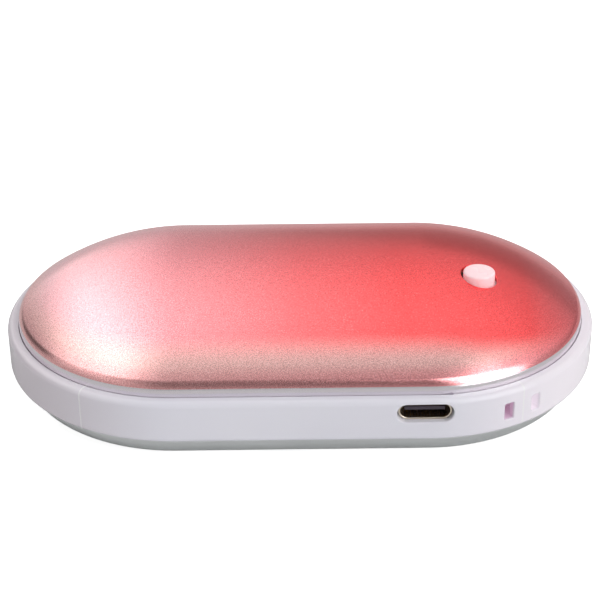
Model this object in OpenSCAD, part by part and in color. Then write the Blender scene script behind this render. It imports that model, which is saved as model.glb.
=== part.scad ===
// Rechargeable hand warmer: two drawn shells on a moulded mid frame, with two round cells,
// two film heaters, a charging board with its socket, and one push button.
// Millimetres. +Z is up, the origin is the middle of the base, +X runs to the button end,
// and the charging socket faces -Y.

/* [Body] */
// Length over the mid frame
body_length = 104.4; // [104:0.2:110]
// Width over the mid frame
body_width = 62; // [61.6:0.2:66]
// Depth of the bottom shell below the mid frame
base_depth = 6.8; // [6.6:0.1:7.6]
// Height of the mid frame
frame_height = 7.6; // [7.5:0.1:8.6]
// Height of the top shell above the mid frame
crown_height = 11.6; // [11.5:0.1:13]

/* [Mid frame] */
// Width of the rim that shows round each shell
rim_width = 1.9; // [1.6:0.05:2.2]
// Rounding of the frame's outer edges
frame_edge = 1; // [0.6:0.1:1.4]
// Width of the shelf that carries the shells
shelf_width = 1.1; // [1:0.05:1.3]
// Depth that each shell sinks into the frame
shell_seat = 0.6; // [0.4:0.05:0.65]

/* [Shells] */
// Wall of the drawn shells
shell_wall = 0.8; // [0.7:0.05:0.9]
// Gap between a shell and the rim
shell_gap = 0.12; // [0.08:0.02:0.2]
// Corner radius of the top shell's profile
top_corner = 2.5; // [2.4:0.1:3.2]
// Corner radius of the bottom shell's profile
base_corner = 4; // [3.6:0.1:4.4]
// Upright lip under each corner
shell_lip = 0.6; // [0.4:0.1:0.9]
// How far the bottom's curve is cut away to give a flat foot
foot_cut = 2; // [1.8:0.1:2.2]
// Thickness of the adhesive under each shell's edge
bond_thick = 0.1; // [0.05:0.05:0.15]

/* [Charging socket] */
// Distance of the socket's centre from the button end
port_from_end = 31.9; // [31.3:0.1:32.3]
// Depth of the socket's centre below the frame's upper edge
port_from_top = 2.5; // [2.45:0.05:2.8]
// Width of the metal shell
port_width = 8.94; // [8.9:0.02:9]
// Height of the metal shell
port_tall = 3.26; // [3.2:0.02:3.3]
// Depth of the metal shell
port_depth = 7.35; // [7:0.05:7.6]
// Width of the opening that a plug enters
port_mouth_width = 8.34; // [8.3:0.02:8.4]
// Height of the opening that a plug enters
port_mouth_tall = 2.56; // [2.5:0.02:2.6]
// How far the metal shell's front stands back from the frame's side
port_recess = 1; // [0.8:0.1:1.2]
// Room round the metal shell in the frame's slot
port_room = 0.22; // [0.15:0.01:0.24]

/* [Lanyard eye] */
// Angle of the post from the front, about the round end's centre
eye_angle = 30.6; // [28:0.1:33]
// Width of the post between the two windows
eye_post = 3.7; // [3.3:0.1:4]
// Width of each window
eye_window = 1.8; // [1.6:0.1:2]
// Height of the windows
eye_tall = 3.1; // [2.9:0.05:3.3]
// Height of the windows' centre above the frame's lower edge
eye_height = 3.7; // [3.6:0.05:4.1]
// Thickness of the post
eye_post_thick = 1.2; // [1:0.1:1.3]
// Depth of the passage behind the post
eye_passage = 2.2; // [2:0.1:2.4]
// Wall round the passage
eye_wall = 1; // [0.8:0.1:1.1]

/* [Button] */
// Distance of the button's axis from the button end
button_from_end = 21.2; // [21:0.1:21.6]
// Distance of the button's axis in front of the middle line
button_offset = 6.7; // [6.5:0.1:7.2]
// Radius of the cap
cap_radius = 2.75; // [2.6:0.05:2.85]
// Height that the cap stands out of the top shell
cap_proud = 1; // [0.8:0.1:1.2]
// Rounding of the cap's top edge
cap_edge = 0.4; // [0.2:0.05:0.5]
// Gap round the cap in the top shell
cap_gap = 0.4; // [0.3:0.05:0.5]
// Width of the cap's flange outside the shell's hole
flange_width = 0.8; // [0.6:0.1:1]
// Thickness of the cap's flange
flange_thick = 0.7; // [0.6:0.1:0.9]
// Gap between the flange and the lowest part of the shell over it
flange_gap = 0.25; // [0.15:0.05:0.35]
// Radius of the cap's stem
stem_radius = 1.5; // [1.3:0.05:1.6]
// Running gap round the stem in its guide
stem_gap = 0.06; // [0.04:0.01:0.09]
// Travel of the button
button_travel = 0.3; // [0.2:0.05:0.35]

/* [Cells] */
// Room between the frame's left end and the cells
end_room = 12.8; // [12.7:0.1:14]
// Gap between the cradle's end wall and the push switch
switch_gap = 0.53; // [0.4:0.01:3]
// Room between the cells' sides and the frame's shelf
side_room = 9.45; // [9.3:0.05:11]
// Room between the cells' tops and the top of the crown
head_room = 5.5; // [5.3:0.1:6.7]
// Thickness of a cell's sleeve
sleeve_thick = 0.1; // [0.08:0.01:0.12]
// Gap between the two sleeved cells
cell_gap = 0.3; // [0.2:0.05:0.5]
// Thickness of the welded strips
strip_thick = 0.15; // [0.1:0.05:0.2]
// Width of the welded strips
strip_width = 7; // [6:0.5:8]

/* [Cradle and straps] */
// Wall of the cradle's side rails where a cell is widest
rail_wall = 1.75; // [1.5:0.05:1.9]
// Height of the rails
rail_tall = 4.5; // [4:0.1:4.6]
// Wall of the cradle's ends and of the straps
mould_wall = 1; // [0.9:0.05:1.1]
// Gap round a cell in the cradle and straps
cell_fit = 0.1; // [0.06:0.02:0.16]
// Distance of the screws from the cells' ends
lug_inset = 15.5; // [14.5:0.5:18]
// Distance between a rail and the round of a screw's ear
lug_gap = 1; // [0.8:0.1:1.3]
// Thickness of the ears
ear_thick = 1.2; // [1:0.1:1.3]
// Height of the frame's screw bosses
boss_tall = 3; // [2.9:0.1:3.4]
// Width of a strap along the body
strap_width = 8; // [6:0.5:9]
// Drop from the cells' axes to the face where straps and cradle meet
split_drop = 0.5; // [0.3:0.1:0.6]

/* [Heaters and pads] */
// Thickness of a heater film
film_thick = 0.2; // [0.15:0.05:0.25]
// Bare margin between a heater film and the start of the bottom's curve
film_margin = 1.1; // [0.8:0.1:2]
// Thickness of the etched heater track
track_thick = 0.1; // [0.05:0.05:0.15]
// Width of the track
track_width = 1.4; // [1:0.1:1.6]
// Distance from one run of the track to the next
track_pitch = 3; // [2.6:0.1:3.6]
// Thickness of the foam pads
foam_thick = 1; // [0.9:0.1:1.2]

/* [Board] */
// Thickness of the circuit board
board_thick = 1.2; // [1:0.1:1.2]
// Gap between the board's edge and the walls beside it
board_gap = 0.3; // [0.2:0.1:0.6]
// Height of the push switch from the board to its plunger's top
switch_tall = 5; // [4.6:0.1:5.4]
// Width of the push switch
switch_width = 6; // [5.8:0.1:6.2]

/* [Hidden] */

$fn = 96;
// Facets on the large arcs of the shells
fine = 360;
// Overshoot of a cutter past the face it opens
over = 1;
// Small clearance between two pieces that lie against each other on a curve
skin = 0.02;
// How far the crown's arc is drawn in, so that it crosses the corner's arc instead of only touching it
seam = 0.005;

// Plan
spine = (body_length - body_width) / 2;
rim_inner = body_width / 2 - rim_width;
shell_outer = rim_inner - shell_gap;
shelf_inner = rim_inner - shelf_width;

// Button's axis, and how far the switch's feet stand out of it
button_x = body_length / 2 - button_from_end;
button_y = -button_offset;
switch_foot = 0.7;

// Heights
frame_top = base_depth + frame_height;
total_height = frame_top + crown_height;
top_edge = frame_top - shell_seat;
base_edge = base_depth + shell_seat;
shelf_top = top_edge - bond_thick;
shelf_base = base_edge + bond_thick;

// Angle and radius of the crown's arc that runs on smoothly from a corner's arc
function crown_angle(corner, height) =
  90 - 2 * atan((height - shell_lip - corner) / (shell_outer - corner));
function crown_radius(corner, height) =
  corner + (shell_outer - corner) / cos(crown_angle(corner, height));
top_crown = crown_radius(top_corner, crown_height);
base_crown = crown_radius(base_corner, base_depth + foot_cut);

// Height of the top shell's surface, or of one inside it, at a distance from the spine
function crown_z(w, inside) =
  total_height - top_crown + sqrt(pow(top_crown - inside, 2) - w * w);
// Half width of the flat foot inside the bottom shell, and of the films, to a tenth of a millimetre
foot_half = sqrt(pow(base_crown - shell_wall, 2) - pow(base_crown - shell_wall - foot_cut, 2));
film_half = floor(10 * foot_half) / 10 - film_margin;
// Distance of a point from the spine
function off_spine(x, y) = norm([max(abs(x) - spine, 0), y]);

// Cells: the largest pair that the rooms leave, which is 65 mm long and 18.2 mm across here
cell_base = shell_wall + film_thick + track_thick + foam_thick;
cell_start = end_room - body_length / 2;
cell_end = button_x - switch_width / 2 - switch_foot - switch_gap - mould_wall - strip_thick - skin;
cell_length = cell_end - cell_start;
sleeve_radius = min(total_height - cell_base - head_room, shelf_inner - side_room - cell_gap / 2) / 2;
can_radius = sleeve_radius - sleeve_thick;
cell_y = sleeve_radius + cell_gap / 2;
cell_z = cell_base + sleeve_radius;
cell_cap = 0.2;
cell_cap_radius = 4;
bed_radius = sleeve_radius + cell_fit;

// Cradle, bosses and straps
boss_radius = 2.3;
ear_radius = 2.6;
rail_outer = cell_y + bed_radius + rail_wall;
lug_x = [cell_start + lug_inset, cell_end - lug_inset];
lug_side = rail_outer + ear_radius + lug_gap;
cradle_fit = 0.4;
screw_radius = 1;
screw_hole = 1.1;
pilot_radius = 0.85;
head_radius = 1.9;
head_tall = 1.3;
strap_base = cell_z - split_drop;
boss_top = strap_base - ear_thick;
boss_base = boss_top - boss_tall;
rail_base = strap_base - rail_tall;
end_start = cell_start - strip_thick - skin;
end_finish = cell_end + strip_thick + skin;
chassis_screw_length = 5;

// Board
port_x = body_length / 2 - port_from_end;
port_z = frame_top - port_from_top;
port_front = -body_width / 2 + port_recess;
board_top = port_z - port_tall / 2;
board_base = board_top - board_thick;
board_start = end_finish + mould_wall + board_gap;
eye_inner = body_width / 2 - eye_post_thick - eye_passage - eye_wall;
board_radius = eye_inner - board_gap;
// The board's tongue under the socket: its margin beside the socket, and its set back
tongue_margin = 2.6;
tongue_set_back = 2.5;
board_tongue_start = port_x - port_width / 2 - tongue_margin;
board_tongue_side = -rail_outer - 2 * board_gap;
board_front = port_front + tongue_set_back;

// Button and switch
button_w = off_spine(button_x, button_y);
hole_radius = cap_radius + cap_gap;
flange_radius = hole_radius + flange_width;
cap_top = crown_z(button_w, 0) + cap_proud;
flange_top = crown_z(button_w + flange_radius, shell_wall) - flange_gap;
flange_base = flange_top - flange_thick;
switch_body = 3.2;
switch_plate = 0.3;
plunger_radius = 1.7;
plunger_top = board_top + switch_tall;
well_radius = 2.5;
well_floor = 1.5;

// Bracket over the switch
bracket_reach = 9;
bracket_foot = 5.2;
bracket_width = 5;
bracket_wall = 1.4;
bracket_z = plunger_top + 0.8;
foot_tall = 1.2;
board_screw_y = [for (side = [-1, 1]) button_y + side * (bracket_reach + bracket_foot / 2)];
board_screw_length = 4;

// Shelf of the cradle that carries the board on two stand-offs
stand_off = 0.9;
stand_off_radius = 2;
shelf_margin = 1.4;
shelf_base_z = board_base - stand_off - mould_wall;
shelf_end = button_x + stand_off_radius + shelf_margin;
shelf_side = bracket_reach + bracket_foot / 2 + stand_off_radius + shelf_margin;

// Routes of the wires
pad_x = board_start + 1.4;
lead_radius = 0.8;
heater_wire = 0.5;
bead_radius = 0.8;
lead_z = cell_z + sqrt(pow(bed_radius + mould_wall + lead_radius + skin, 2) - cell_y * cell_y);
tap_y = cell_y + 2.65;
// The positive lead's pad on the board, and the height from which it turns down to it
tap_pad_y = tap_y + 0.95;
tap_turn = max(cell_z + 1.2, board_top + 2.2);
positive_route = [[end_finish, tap_y, cell_z + 2], [end_finish + 0.9, tap_y, cell_z + 2],
  [pad_x - 0.3, tap_pad_y - 0.4, tap_turn], [pad_x, tap_pad_y, board_top + 1], [pad_x, tap_pad_y, board_top]];
negative_route = [[cell_start, 0, lead_z], [cell_start + 20, 0, lead_z], [cell_end - 16, 0, lead_z],
  [cell_end - 2, 0, lead_z], [cell_end + 1.2, 1.4, lead_z - 0.25], [pad_x - 0.6, 5.4, lead_z - 2],
  [pad_x, 8.4, board_top + 2.4], [pad_x, 9, board_top + 1], [pad_x, 9, board_top]];

// Flat shapes
module stadium(radius) {
  square([2 * spine, 2 * radius], center = true);
  for (side = [-1, 1]) translate([side * spine, 0]) circle(radius, $fn = fine);
}

module slot(wide, tall) {
  square([wide - tall, tall], center = true);
  for (side = [-1, 1]) translate([side * (wide - tall) / 2, 0]) circle(tall / 2);
}

module rounded_square(wide, deep, corner) {
  square([wide - 2 * corner, deep], center = true);
  square([wide, deep - 2 * corner], center = true);
  for (i = [-1, 1], j = [-1, 1])
    translate([i * (wide / 2 - corner), j * (deep / 2 - corner)]) circle(corner);
}

// Half of a domed profile: a lip, a corner arc and a crown arc, each moved inwards
module dome_half(corner, height, inside) {
  angle = crown_angle(corner, height);
  big = crown_radius(corner, height);
  reach = 2 * big;
  intersection() {
    translate([0, -shell_seat]) square([shell_outer, height + shell_seat]);
    union() {
      translate([0, -shell_seat]) square([shell_outer - inside, shell_lip + shell_seat]);
      translate([shell_outer - corner, shell_lip]) circle(corner - inside, $fn = fine);
      intersection() {
        translate([0, height - big + seam]) circle(big - inside - seam, $fn = fine);
        translate([0, height - big])
          polygon([[0, 0], [reach * cos(angle), reach * sin(angle)], [0, reach]]);
      }
    }
  }
}

// Carries a profile, drawn outwards from the spine, round the whole plan
module round_body() {
  translate([-spine, 0, 0]) rotate([90, 0, 90]) linear_extrude(2 * spine) {
    children();
    mirror([1, 0]) children();
  }
  translate([spine, 0, 0]) rotate_extrude(angle = 180, start = -90, $fn = fine) children();
  translate([-spine, 0, 0]) rotate_extrude(angle = 180, start = 90, $fn = fine) children();
}

// Layers that follow the inside of the shells, from one depth to another
module top_layer(from, to) {
  translate([0, 0, frame_top]) round_body() difference() {
    dome_half(top_corner, crown_height, from);
    dome_half(top_corner, crown_height, to);
  }
}

module base_profile(inside) {
  intersection() {
    mirror([0, 1]) dome_half(base_corner, base_depth + foot_cut, inside);
    translate([0, inside - base_depth]) square([shell_outer, base_depth + shell_seat]);
  }
}

// Smooth line through points, and a tube along it
function unit(v) = v / norm(v);
function spline(p, i, t) =
  let (a = p[max(i - 1, 0)], b = p[i], c = p[i + 1], d = p[min(i + 2, len(p) - 1)])
  0.5 * (2 * b + (c - a) * t + (2 * a - 5 * b + 4 * c - d) * t * t + (3 * b - a - 3 * c + d) * t * t * t);
function smooth(p, steps) =
  concat([for (i = [0:len(p) - 2], k = [0:steps - 1]) spline(p, i, k / steps)], [p[len(p) - 1]]);
function tangents(p, first, last) = concat([unit(first)],
  [for (i = [1:len(p) - 2]) unit(p[i + 1] - p[i - 1])], [unit(last)]);
function carried(t, i, n) =
  i == len(t) ? [] : let (m = unit(n - t[i] * (n * t[i]))) concat([m], carried(t, i + 1, m));

module tube(route, radii, sides = 8, steps = 5) {
  p = smooth(route, steps);
  last = len(p) - 1;
  t = tangents(p, route[1] - route[0], route[len(route) - 1] - route[len(route) - 2]);
  n = carried(t, 0, abs(t[0][2]) < 0.9 ? [0, 0, 1] : [1, 0, 0]);
  points = [for (i = [0:last], k = [0:sides - 1])
    let (a = 360 * k / sides, r = lookup(i / last, radii))
    p[i] + r * (cos(a) * n[i] + sin(a) * cross(t[i], n[i]))];
  skin_faces = [for (i = [0:last - 1], k = [0:sides - 1], half = [0, 1])
    let (a = i * sides + k, b = i * sides + (k + 1) % sides)
    half == 0 ? [a, a + sides, b + sides] : [a, b + sides, b]];
  polyhedron(points, concat([[for (k = [0:sides - 1]) k]], skin_faces,
    [[for (k = [sides - 1:-1:0]) last * sides + k]]));
}

// Shells
module top_shell() {
  color([0.93, 0.55, 0.53]) difference() {
    top_layer(0, shell_wall);
    translate([button_x, button_y, flange_top]) cylinder(h = crown_height, r = hole_radius);
  }
}

module bottom_shell() {
  color([0.74, 0.75, 0.76]) translate([0, 0, base_depth]) round_body() difference() {
    base_profile(0);
    base_profile(shell_wall);
  }
}

// Mid frame
module frame_profile() {
  outer = body_width / 2;
  translate([rim_inner, base_depth]) square([rim_width - frame_edge, frame_height]);
  translate([rim_inner, base_depth + frame_edge]) square([rim_width, frame_height - 2 * frame_edge]);
  for (z = [base_depth + frame_edge, frame_top - frame_edge])
    translate([outer - frame_edge, z]) circle(frame_edge);
  translate([shelf_inner, shelf_base]) square([shelf_width + rim_width / 2, shelf_top - shelf_base]);
}

// A block that follows the round end, centred on an angle from the front
module end_block(middle, half_angle, inner, outer, z, tall) {
  translate([spine, 0, z - tall / 2])
    rotate_extrude(angle = 2 * half_angle, start = middle - half_angle - 90, $fn = fine)
      translate([inner, 0]) square([outer - inner, tall]);
}

function eye_degrees(arc) = arc / (body_width / 2) * 180 / PI;

module lanyard_cuts() {
  outer = body_width / 2;
  passage_outer = outer - eye_post_thick;
  half = eye_degrees(eye_post / 2 + eye_window);
  z = base_depth + eye_height;
  end_block(eye_angle, half, passage_outer - eye_passage, passage_outer, z, eye_tall);
  for (side = [-1, 1])
    end_block(eye_angle + side * eye_degrees((eye_post + eye_window) / 2), eye_degrees(eye_window / 2),
      passage_outer - eye_passage / 2, outer + over, z, eye_tall);
}

module lanyard_housing() {
  end_block(eye_angle, eye_degrees(eye_post / 2 + eye_window + eye_wall), eye_inner,
    shelf_inner + shelf_width / 2, base_depth + eye_height, eye_tall + 2 * eye_wall);
}

module frame_boss(x, side) {
  rib = 2.4;
  translate([x, side * lug_side, boss_base]) cylinder(h = boss_tall, r = boss_radius);
  translate([x - rib / 2, side > 0 ? lug_side : -shelf_inner - shelf_width / 2, shelf_base])
    cube([rib, shelf_inner + shelf_width / 2 - lug_side, boss_top - shelf_base]);
}

module port_slot() {
  notch = port_width + 2 * port_room;
  translate([port_x, -body_width / 2 - over, port_z]) rotate([-90, 0, 0])
    linear_extrude(rim_width + shelf_width + 2 * over)
      slot(notch, port_tall + port_room / 2);
  translate([port_x - notch / 2, -rim_inner, port_z]) cube([notch, 2 * over, frame_height]);
}

module mid_frame() {
  color([0.9, 0.88, 0.92]) difference() {
    union() {
      round_body() frame_profile();
      for (x = lug_x, side = [-1, 1]) frame_boss(x, side);
      lanyard_housing();
    }
    port_slot();
    lanyard_cuts();
    for (x = lug_x, side = [-1, 1])
      translate([x, side * lug_side, boss_base - over])
        cylinder(h = boss_tall + 2 * over, r = pilot_radius);
  }
}

module adhesive_ring(z) {
  color([0.95, 0.93, 0.8]) translate([0, 0, z]) round_body()
    translate([shell_outer - shell_wall, 0]) square([shell_wall, bond_thick]);
}

module top_adhesive_ring() {
  adhesive_ring(shelf_top);
}

module bottom_adhesive_ring() {
  adhesive_ring(base_edge);
}

// Heaters
film_clear = 1.6;
film_end = film_half - 1;
top_film_finish = button_x - flange_radius - film_clear;
top_film_start = -spine - film_end;
film_depth = shell_wall + skin;
track_depth = film_depth + film_thick;
foam_depth = track_depth + track_thick;

module top_film_plan() {
  corner = 4;
  span = top_film_finish - top_film_start;
  translate([top_film_start + span / 2, 0]) rounded_square(span, 2 * film_half, corner);
}

// A flat track that runs to and fro between two ends
module track_plan(start, finish, half) {
  runs = floor((finish - start) / track_pitch);
  for (i = [0:runs])
    translate([start + i * track_pitch, -half]) square([track_width, 2 * half]);
  for (i = [0:runs - 1])
    translate([start + i * track_pitch, i % 2 == 0 ? half - track_width : -half])
      square([track_pitch + track_width, track_width]);
}

module top_heater_film() {
  color([0.78, 0.48, 0.12]) intersection() {
    top_layer(film_depth, track_depth);
    translate([0, 0, frame_top]) linear_extrude(crown_height) top_film_plan();
  }
}

module top_heater_track() {
  edge = 2.5;
  color([0.72, 0.42, 0.25]) intersection() {
    top_layer(track_depth, foam_depth);
    translate([0, 0, frame_top]) linear_extrude(crown_height)
      track_plan(top_film_start + edge, top_film_finish - edge - 3, film_half - edge);
  }
}

module bottom_heater_film() {
  color([0.78, 0.48, 0.12]) translate([0, 0, shell_wall]) linear_extrude(film_thick)
    stadium(film_half);
}

module bottom_heater_track() {
  edge = 3;
  reach = spine + 5;
  color([0.72, 0.42, 0.25]) translate([0, 0, shell_wall + film_thick]) linear_extrude(track_thick)
    track_plan(-reach, reach - track_width, film_half - edge);
}

module top_foam_pad() {
  start = lug_x[0] - strap_width / 2 - 1;
  finish = lug_x[1] + strap_width / 2;
  color([0.2, 0.2, 0.22]) intersection() {
    top_layer(foam_depth + skin, foam_depth + skin + foam_thick);
    translate([(start + finish) / 2, 0, frame_top]) linear_extrude(crown_height)
      rounded_square(finish - start, 2 * film_half - 4, 3);
  }
}

module bottom_foam_pad() {
  color([0.2, 0.2, 0.22]) translate([0, 0, shell_wall + film_thick + track_thick])
    linear_extrude(foam_thick) intersection() {
      stadium(film_end);
      translate([cell_start, -film_half]) square([cell_length - 1, 2 * film_half]);
    }
}

// Cells
module along_cell(side) {
  translate([cell_start, side * cell_y, cell_z]) rotate([0, 90, 0]) children();
}

module cell(side) {
  groove = 0.45;
  shoulder = cell_length - cell_cap;
  color([0.75, 0.76, 0.78]) along_cell(side) {
    difference() {
      cylinder(h = shoulder, r = can_radius);
      translate([0, 0, shoulder - 3]) rotate_extrude() translate([can_radius, 0]) circle(groove);
    }
    translate([0, 0, shoulder - cell_cap]) cylinder(h = 2 * cell_cap, r = cell_cap_radius);
  }
}

module front_cell() {
  cell(-1);
}

module rear_cell() {
  cell(1);
}

module cell_sleeve(side) {
  margin = 0.5;
  color([0.15, 0.4, 0.75]) along_cell(side) translate([0, 0, margin]) difference() {
    cylinder(h = cell_length - cell_cap - 2 * margin, r = sleeve_radius);
    translate([0, 0, -over]) cylinder(h = cell_length + 2 * over, r = can_radius);
  }
}

module front_cell_sleeve() {
  cell_sleeve(-1);
}

module rear_cell_sleeve() {
  cell_sleeve(1);
}

module cell_insulator_rings() {
  color([0.9, 0.9, 0.85]) for (side = [-1, 1])
    along_cell(side) translate([0, 0, cell_length - cell_cap]) difference() {
      cylinder(h = cell_cap, r = can_radius - 0.6);
      translate([0, 0, -over]) cylinder(h = cell_cap + 2 * over, r = cell_cap_radius + 0.4);
    }
}

module strip(x) {
  translate([x, 0, 0]) rotate([90, 0, 90]) linear_extrude(strip_thick) {
    translate([0, cell_z]) square([2 * cell_y + 8, strip_width], center = true);
    children();
  }
}

module positive_strip() {
  color([0.8, 0.8, 0.78]) strip(cell_end);
}

module negative_strip() {
  tab = 5;
  color([0.8, 0.8, 0.78]) strip(cell_start - strip_thick)
    translate([-tab / 2, cell_z]) square([tab, lead_z + 1.6 - cell_z]);
}

module positive_lead() {
  color([0.85, 0.1, 0.1]) tube(positive_route, [[0, lead_radius], [1, lead_radius]]);
}

module negative_lead() {
  color([0.1, 0.1, 0.1]) tube(negative_route, [[0, lead_radius], [1, lead_radius]]);
}

// Cradle and straps
module cell_beds(start, finish) {
  for (side = [-1, 1])
    translate([start, side * cell_y, cell_z]) rotate([0, 90, 0]) cylinder(h = finish - start, r = bed_radius);
}

module ear(x, side, z) {
  translate([x, side * lug_side, z]) cylinder(h = ear_thick, r = ear_radius);
  translate([x - ear_radius, side > 0 ? rail_outer - mould_wall : -lug_side, z])
    cube([2 * ear_radius, lug_side - rail_outer + mould_wall, ear_thick]);
}

module lug_holes(radius) {
  for (x = lug_x, side = [-1, 1])
    translate([x, side * lug_side, 0]) cylinder(h = total_height, r = radius);
}

module board_shelf() {
  window = [8, 9];
  translate([0, 0, shelf_base_z]) linear_extrude(mould_wall) intersection() {
    stadium(board_radius);
    translate([end_finish, button_y]) difference() {
      translate([0, -shelf_side]) square([shelf_end - end_finish, 2 * shelf_side]);
      translate([4, -window[1] / 2]) square(window);
    }
  }
  for (y = board_screw_y)
    translate([button_x, y, shelf_base_z]) cylinder(h = mould_wall + stand_off, r = stand_off_radius);
}

// Ledge under the board's tongue, which takes the push of a plug
module socket_ledge() {
  wide = port_width / 2;
  translate([port_x - wide / 2, board_front, board_base - mould_wall])
    cube([wide, -rail_outer - board_front + mould_wall, mould_wall]);
}

module cell_cradle() {
  color([0.93, 0.93, 0.9]) difference() {
    union() {
      intersection() {
        translate([end_start - mould_wall, -rail_outer, rail_base])
          cube([end_finish - end_start + 2 * mould_wall, 2 * rail_outer, rail_tall]);
        linear_extrude(total_height) stadium(shelf_inner - cradle_fit);
      }
      for (x = lug_x, side = [-1, 1]) ear(x, side, boss_top);
      board_shelf();
      socket_ledge();
    }
    cell_beds(end_start, end_finish);
    translate([end_start, -cell_y, 0]) cube([end_finish - end_start, 2 * cell_y, total_height]);
    lug_holes(screw_hole);
    for (y = board_screw_y) translate([button_x, y, 0]) cylinder(h = total_height, r = pilot_radius);
  }
}

module strap(x) {
  outer = bed_radius + mould_wall;
  translate([x - strap_width / 2, 0, 0]) rotate([90, 0, 90]) linear_extrude(strap_width)
    difference() {
      intersection() {
        for (side = [-1, 1]) translate([side * cell_y, cell_z]) circle(outer);
        translate([-cell_y - outer, strap_base]) square([2 * (cell_y + outer), 2 * outer]);
      }
      for (side = [-1, 1]) translate([side * cell_y, cell_z]) circle(bed_radius);
      translate([-cell_y, 0]) square([2 * cell_y, cell_z]);
    }
  for (side = [-1, 1]) difference() {
    ear(x, side, strap_base);
    translate([x - strap_width, side * cell_y, cell_z]) rotate([0, 90, 0])
      cylinder(h = 2 * strap_width, r = bed_radius);
  }
}

module cell_straps() {
  color([0.93, 0.93, 0.9]) difference() {
    for (x = lug_x) strap(x);
    lug_holes(screw_hole);
  }
}

// Pan head screw with a cross recess, its head's underside at zero
module screw(length) {
  cross = [2, 0.5, 0.7];
  translate([0, 0, -length]) cylinder(h = length, r = screw_radius);
  difference() {
    cylinder(h = head_tall, r = head_radius);
    for (turn = [0, 90]) rotate([0, 0, turn])
      translate([-cross[0] / 2, -cross[1] / 2, head_tall - cross[2]]) cube(cross);
  }
}

module chassis_screws() {
  color([0.6, 0.6, 0.62]) for (x = lug_x, side = [-1, 1])
    translate([x, side * lug_side, strap_base + ear_thick]) screw(chassis_screw_length);
}

// Board
module board_plan() {
  intersection() {
    stadium(board_radius);
    union() {
      translate([board_start, -body_width]) square([body_length, 2 * body_width]);
      translate([board_tongue_start, board_front])
        square([body_length, board_tongue_side - board_front]);
    }
  }
}

leg_y = [3.5, 6.4];
leg_size = [0.3, 1, 2 + board_thick];

module circuit_board() {
  slot_room = 0.2;
  color([0.05, 0.35, 0.2]) difference() {
    translate([0, 0, board_base]) linear_extrude(board_thick) board_plan();
    for (y = board_screw_y)
      translate([button_x, y, board_base - over]) cylinder(h = board_thick + 2 * over, r = screw_hole);
    for (side = [-1, 1], y = leg_y)
      translate([port_x + side * (port_width - leg_size[0]) / 2, port_front + y, board_base])
        cube([leg_size[0] + 2 * slot_room, leg_size[1] + 2 * slot_room, 3 * board_thick], center = true);
  }
}

module board_screws() {
  color([0.6, 0.6, 0.62]) for (y = board_screw_y)
    translate([button_x, y, board_top + foot_tall]) screw(board_screw_length);
}

// Charging socket
module at_port() {
  translate([port_x, port_front, port_z]) rotate([-90, 0, 0]) children();
}

module usb_c_shell() {
  color([0.8, 0.78, 0.72]) {
    at_port() linear_extrude(port_depth) difference() {
      slot(port_width, port_tall);
      slot(port_mouth_width, port_mouth_tall);
    }
    for (side = [-1, 1], y = leg_y)
      translate([port_x + side * (port_width - leg_size[0]) / 2, port_front + y, port_z - leg_size[2] / 2])
        cube(leg_size, center = true);
  }
}

tongue_tip = 0.9;
tongue_size = [6.69, 0.6];
tongue_back = 2.2;
contact_size = [0.25, 4, 0.06];

module usb_c_tongue() {
  color([0.12, 0.1, 0.12]) at_port() {
    translate([0, 0, port_depth - tongue_back]) linear_extrude(tongue_back)
      slot(port_mouth_width - 2 * skin, port_mouth_tall - 2 * skin);
    translate([0, 0, tongue_tip]) linear_extrude(port_depth - tongue_tip - tongue_back / 2)
      square(tongue_size, center = true);
  }
}

module usb_c_contacts() {
  pitch = 0.5;
  color([0.85, 0.68, 0.3]) for (i = [0:11], face = [-1, 1])
    translate([port_x + (i - 5.5) * pitch - contact_size[0] / 2, port_front + tongue_tip + 0.25,
      port_z + face * (tongue_size[1] + contact_size[2]) / 2 - contact_size[2] / 2])
      cube(contact_size);
}

// Push switch
module at_switch() {
  translate([button_x, button_y, board_top]) children();
}

module switch_square(z, tall, hole) {
  translate([0, 0, z]) linear_extrude(tall) difference() {
    rounded_square(switch_width, switch_width, 0.4);
    circle(hole);
  }
}

module switch_base() {
  color([0.1, 0.1, 0.1]) at_switch() {
    linear_extrude(well_floor) rounded_square(switch_width, switch_width, 0.4);
    switch_square(well_floor, switch_body - well_floor, well_radius);
  }
}

module switch_cover() {
  color([0.8, 0.8, 0.8]) at_switch() switch_square(switch_body, switch_plate, plunger_radius + 0.15);
}

dome_rise = 0.4;
dome_thick = 0.08;
dome_radius = 2.3;

module switch_dome() {
  ball = (dome_radius * dome_radius + dome_rise * dome_rise) / (2 * dome_rise);
  color([0.85, 0.83, 0.78]) at_switch() translate([0, 0, well_floor]) intersection() {
    translate([0, 0, dome_rise - ball]) difference() {
      sphere(ball, $fn = fine);
      sphere(ball - dome_thick, $fn = fine);
    }
    cylinder(h = 1, r = dome_radius);
  }
}

module switch_plunger() {
  collar = plunger_radius + 0.5;
  nub = well_floor + dome_rise + 0.05;
  collar_base = nub + button_travel;
  color([0.15, 0.15, 0.15]) at_switch() {
    translate([0, 0, nub]) cylinder(h = collar_base - nub, r = 0.8);
    translate([0, 0, collar_base]) cylinder(h = switch_body - 0.1 - collar_base, r = collar);
    translate([0, 0, collar_base]) cylinder(h = switch_tall - collar_base, r = plunger_radius);
  }
}

module switch_legs() {
  leg = [0.2, 0.9, 1];
  foot = [switch_foot, 0.9, 0.2];
  color([0.8, 0.8, 0.78]) at_switch() for (side = [-1, 1], y = [-2.2, 2.2]) {
    translate([side > 0 ? switch_width / 2 : -switch_width / 2 - leg[0], y - leg[1] / 2, 0]) cube(leg);
    translate([side > 0 ? switch_width / 2 : -switch_width / 2 - foot[0], y - foot[1] / 2, 0]) cube(foot);
  }
}

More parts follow.
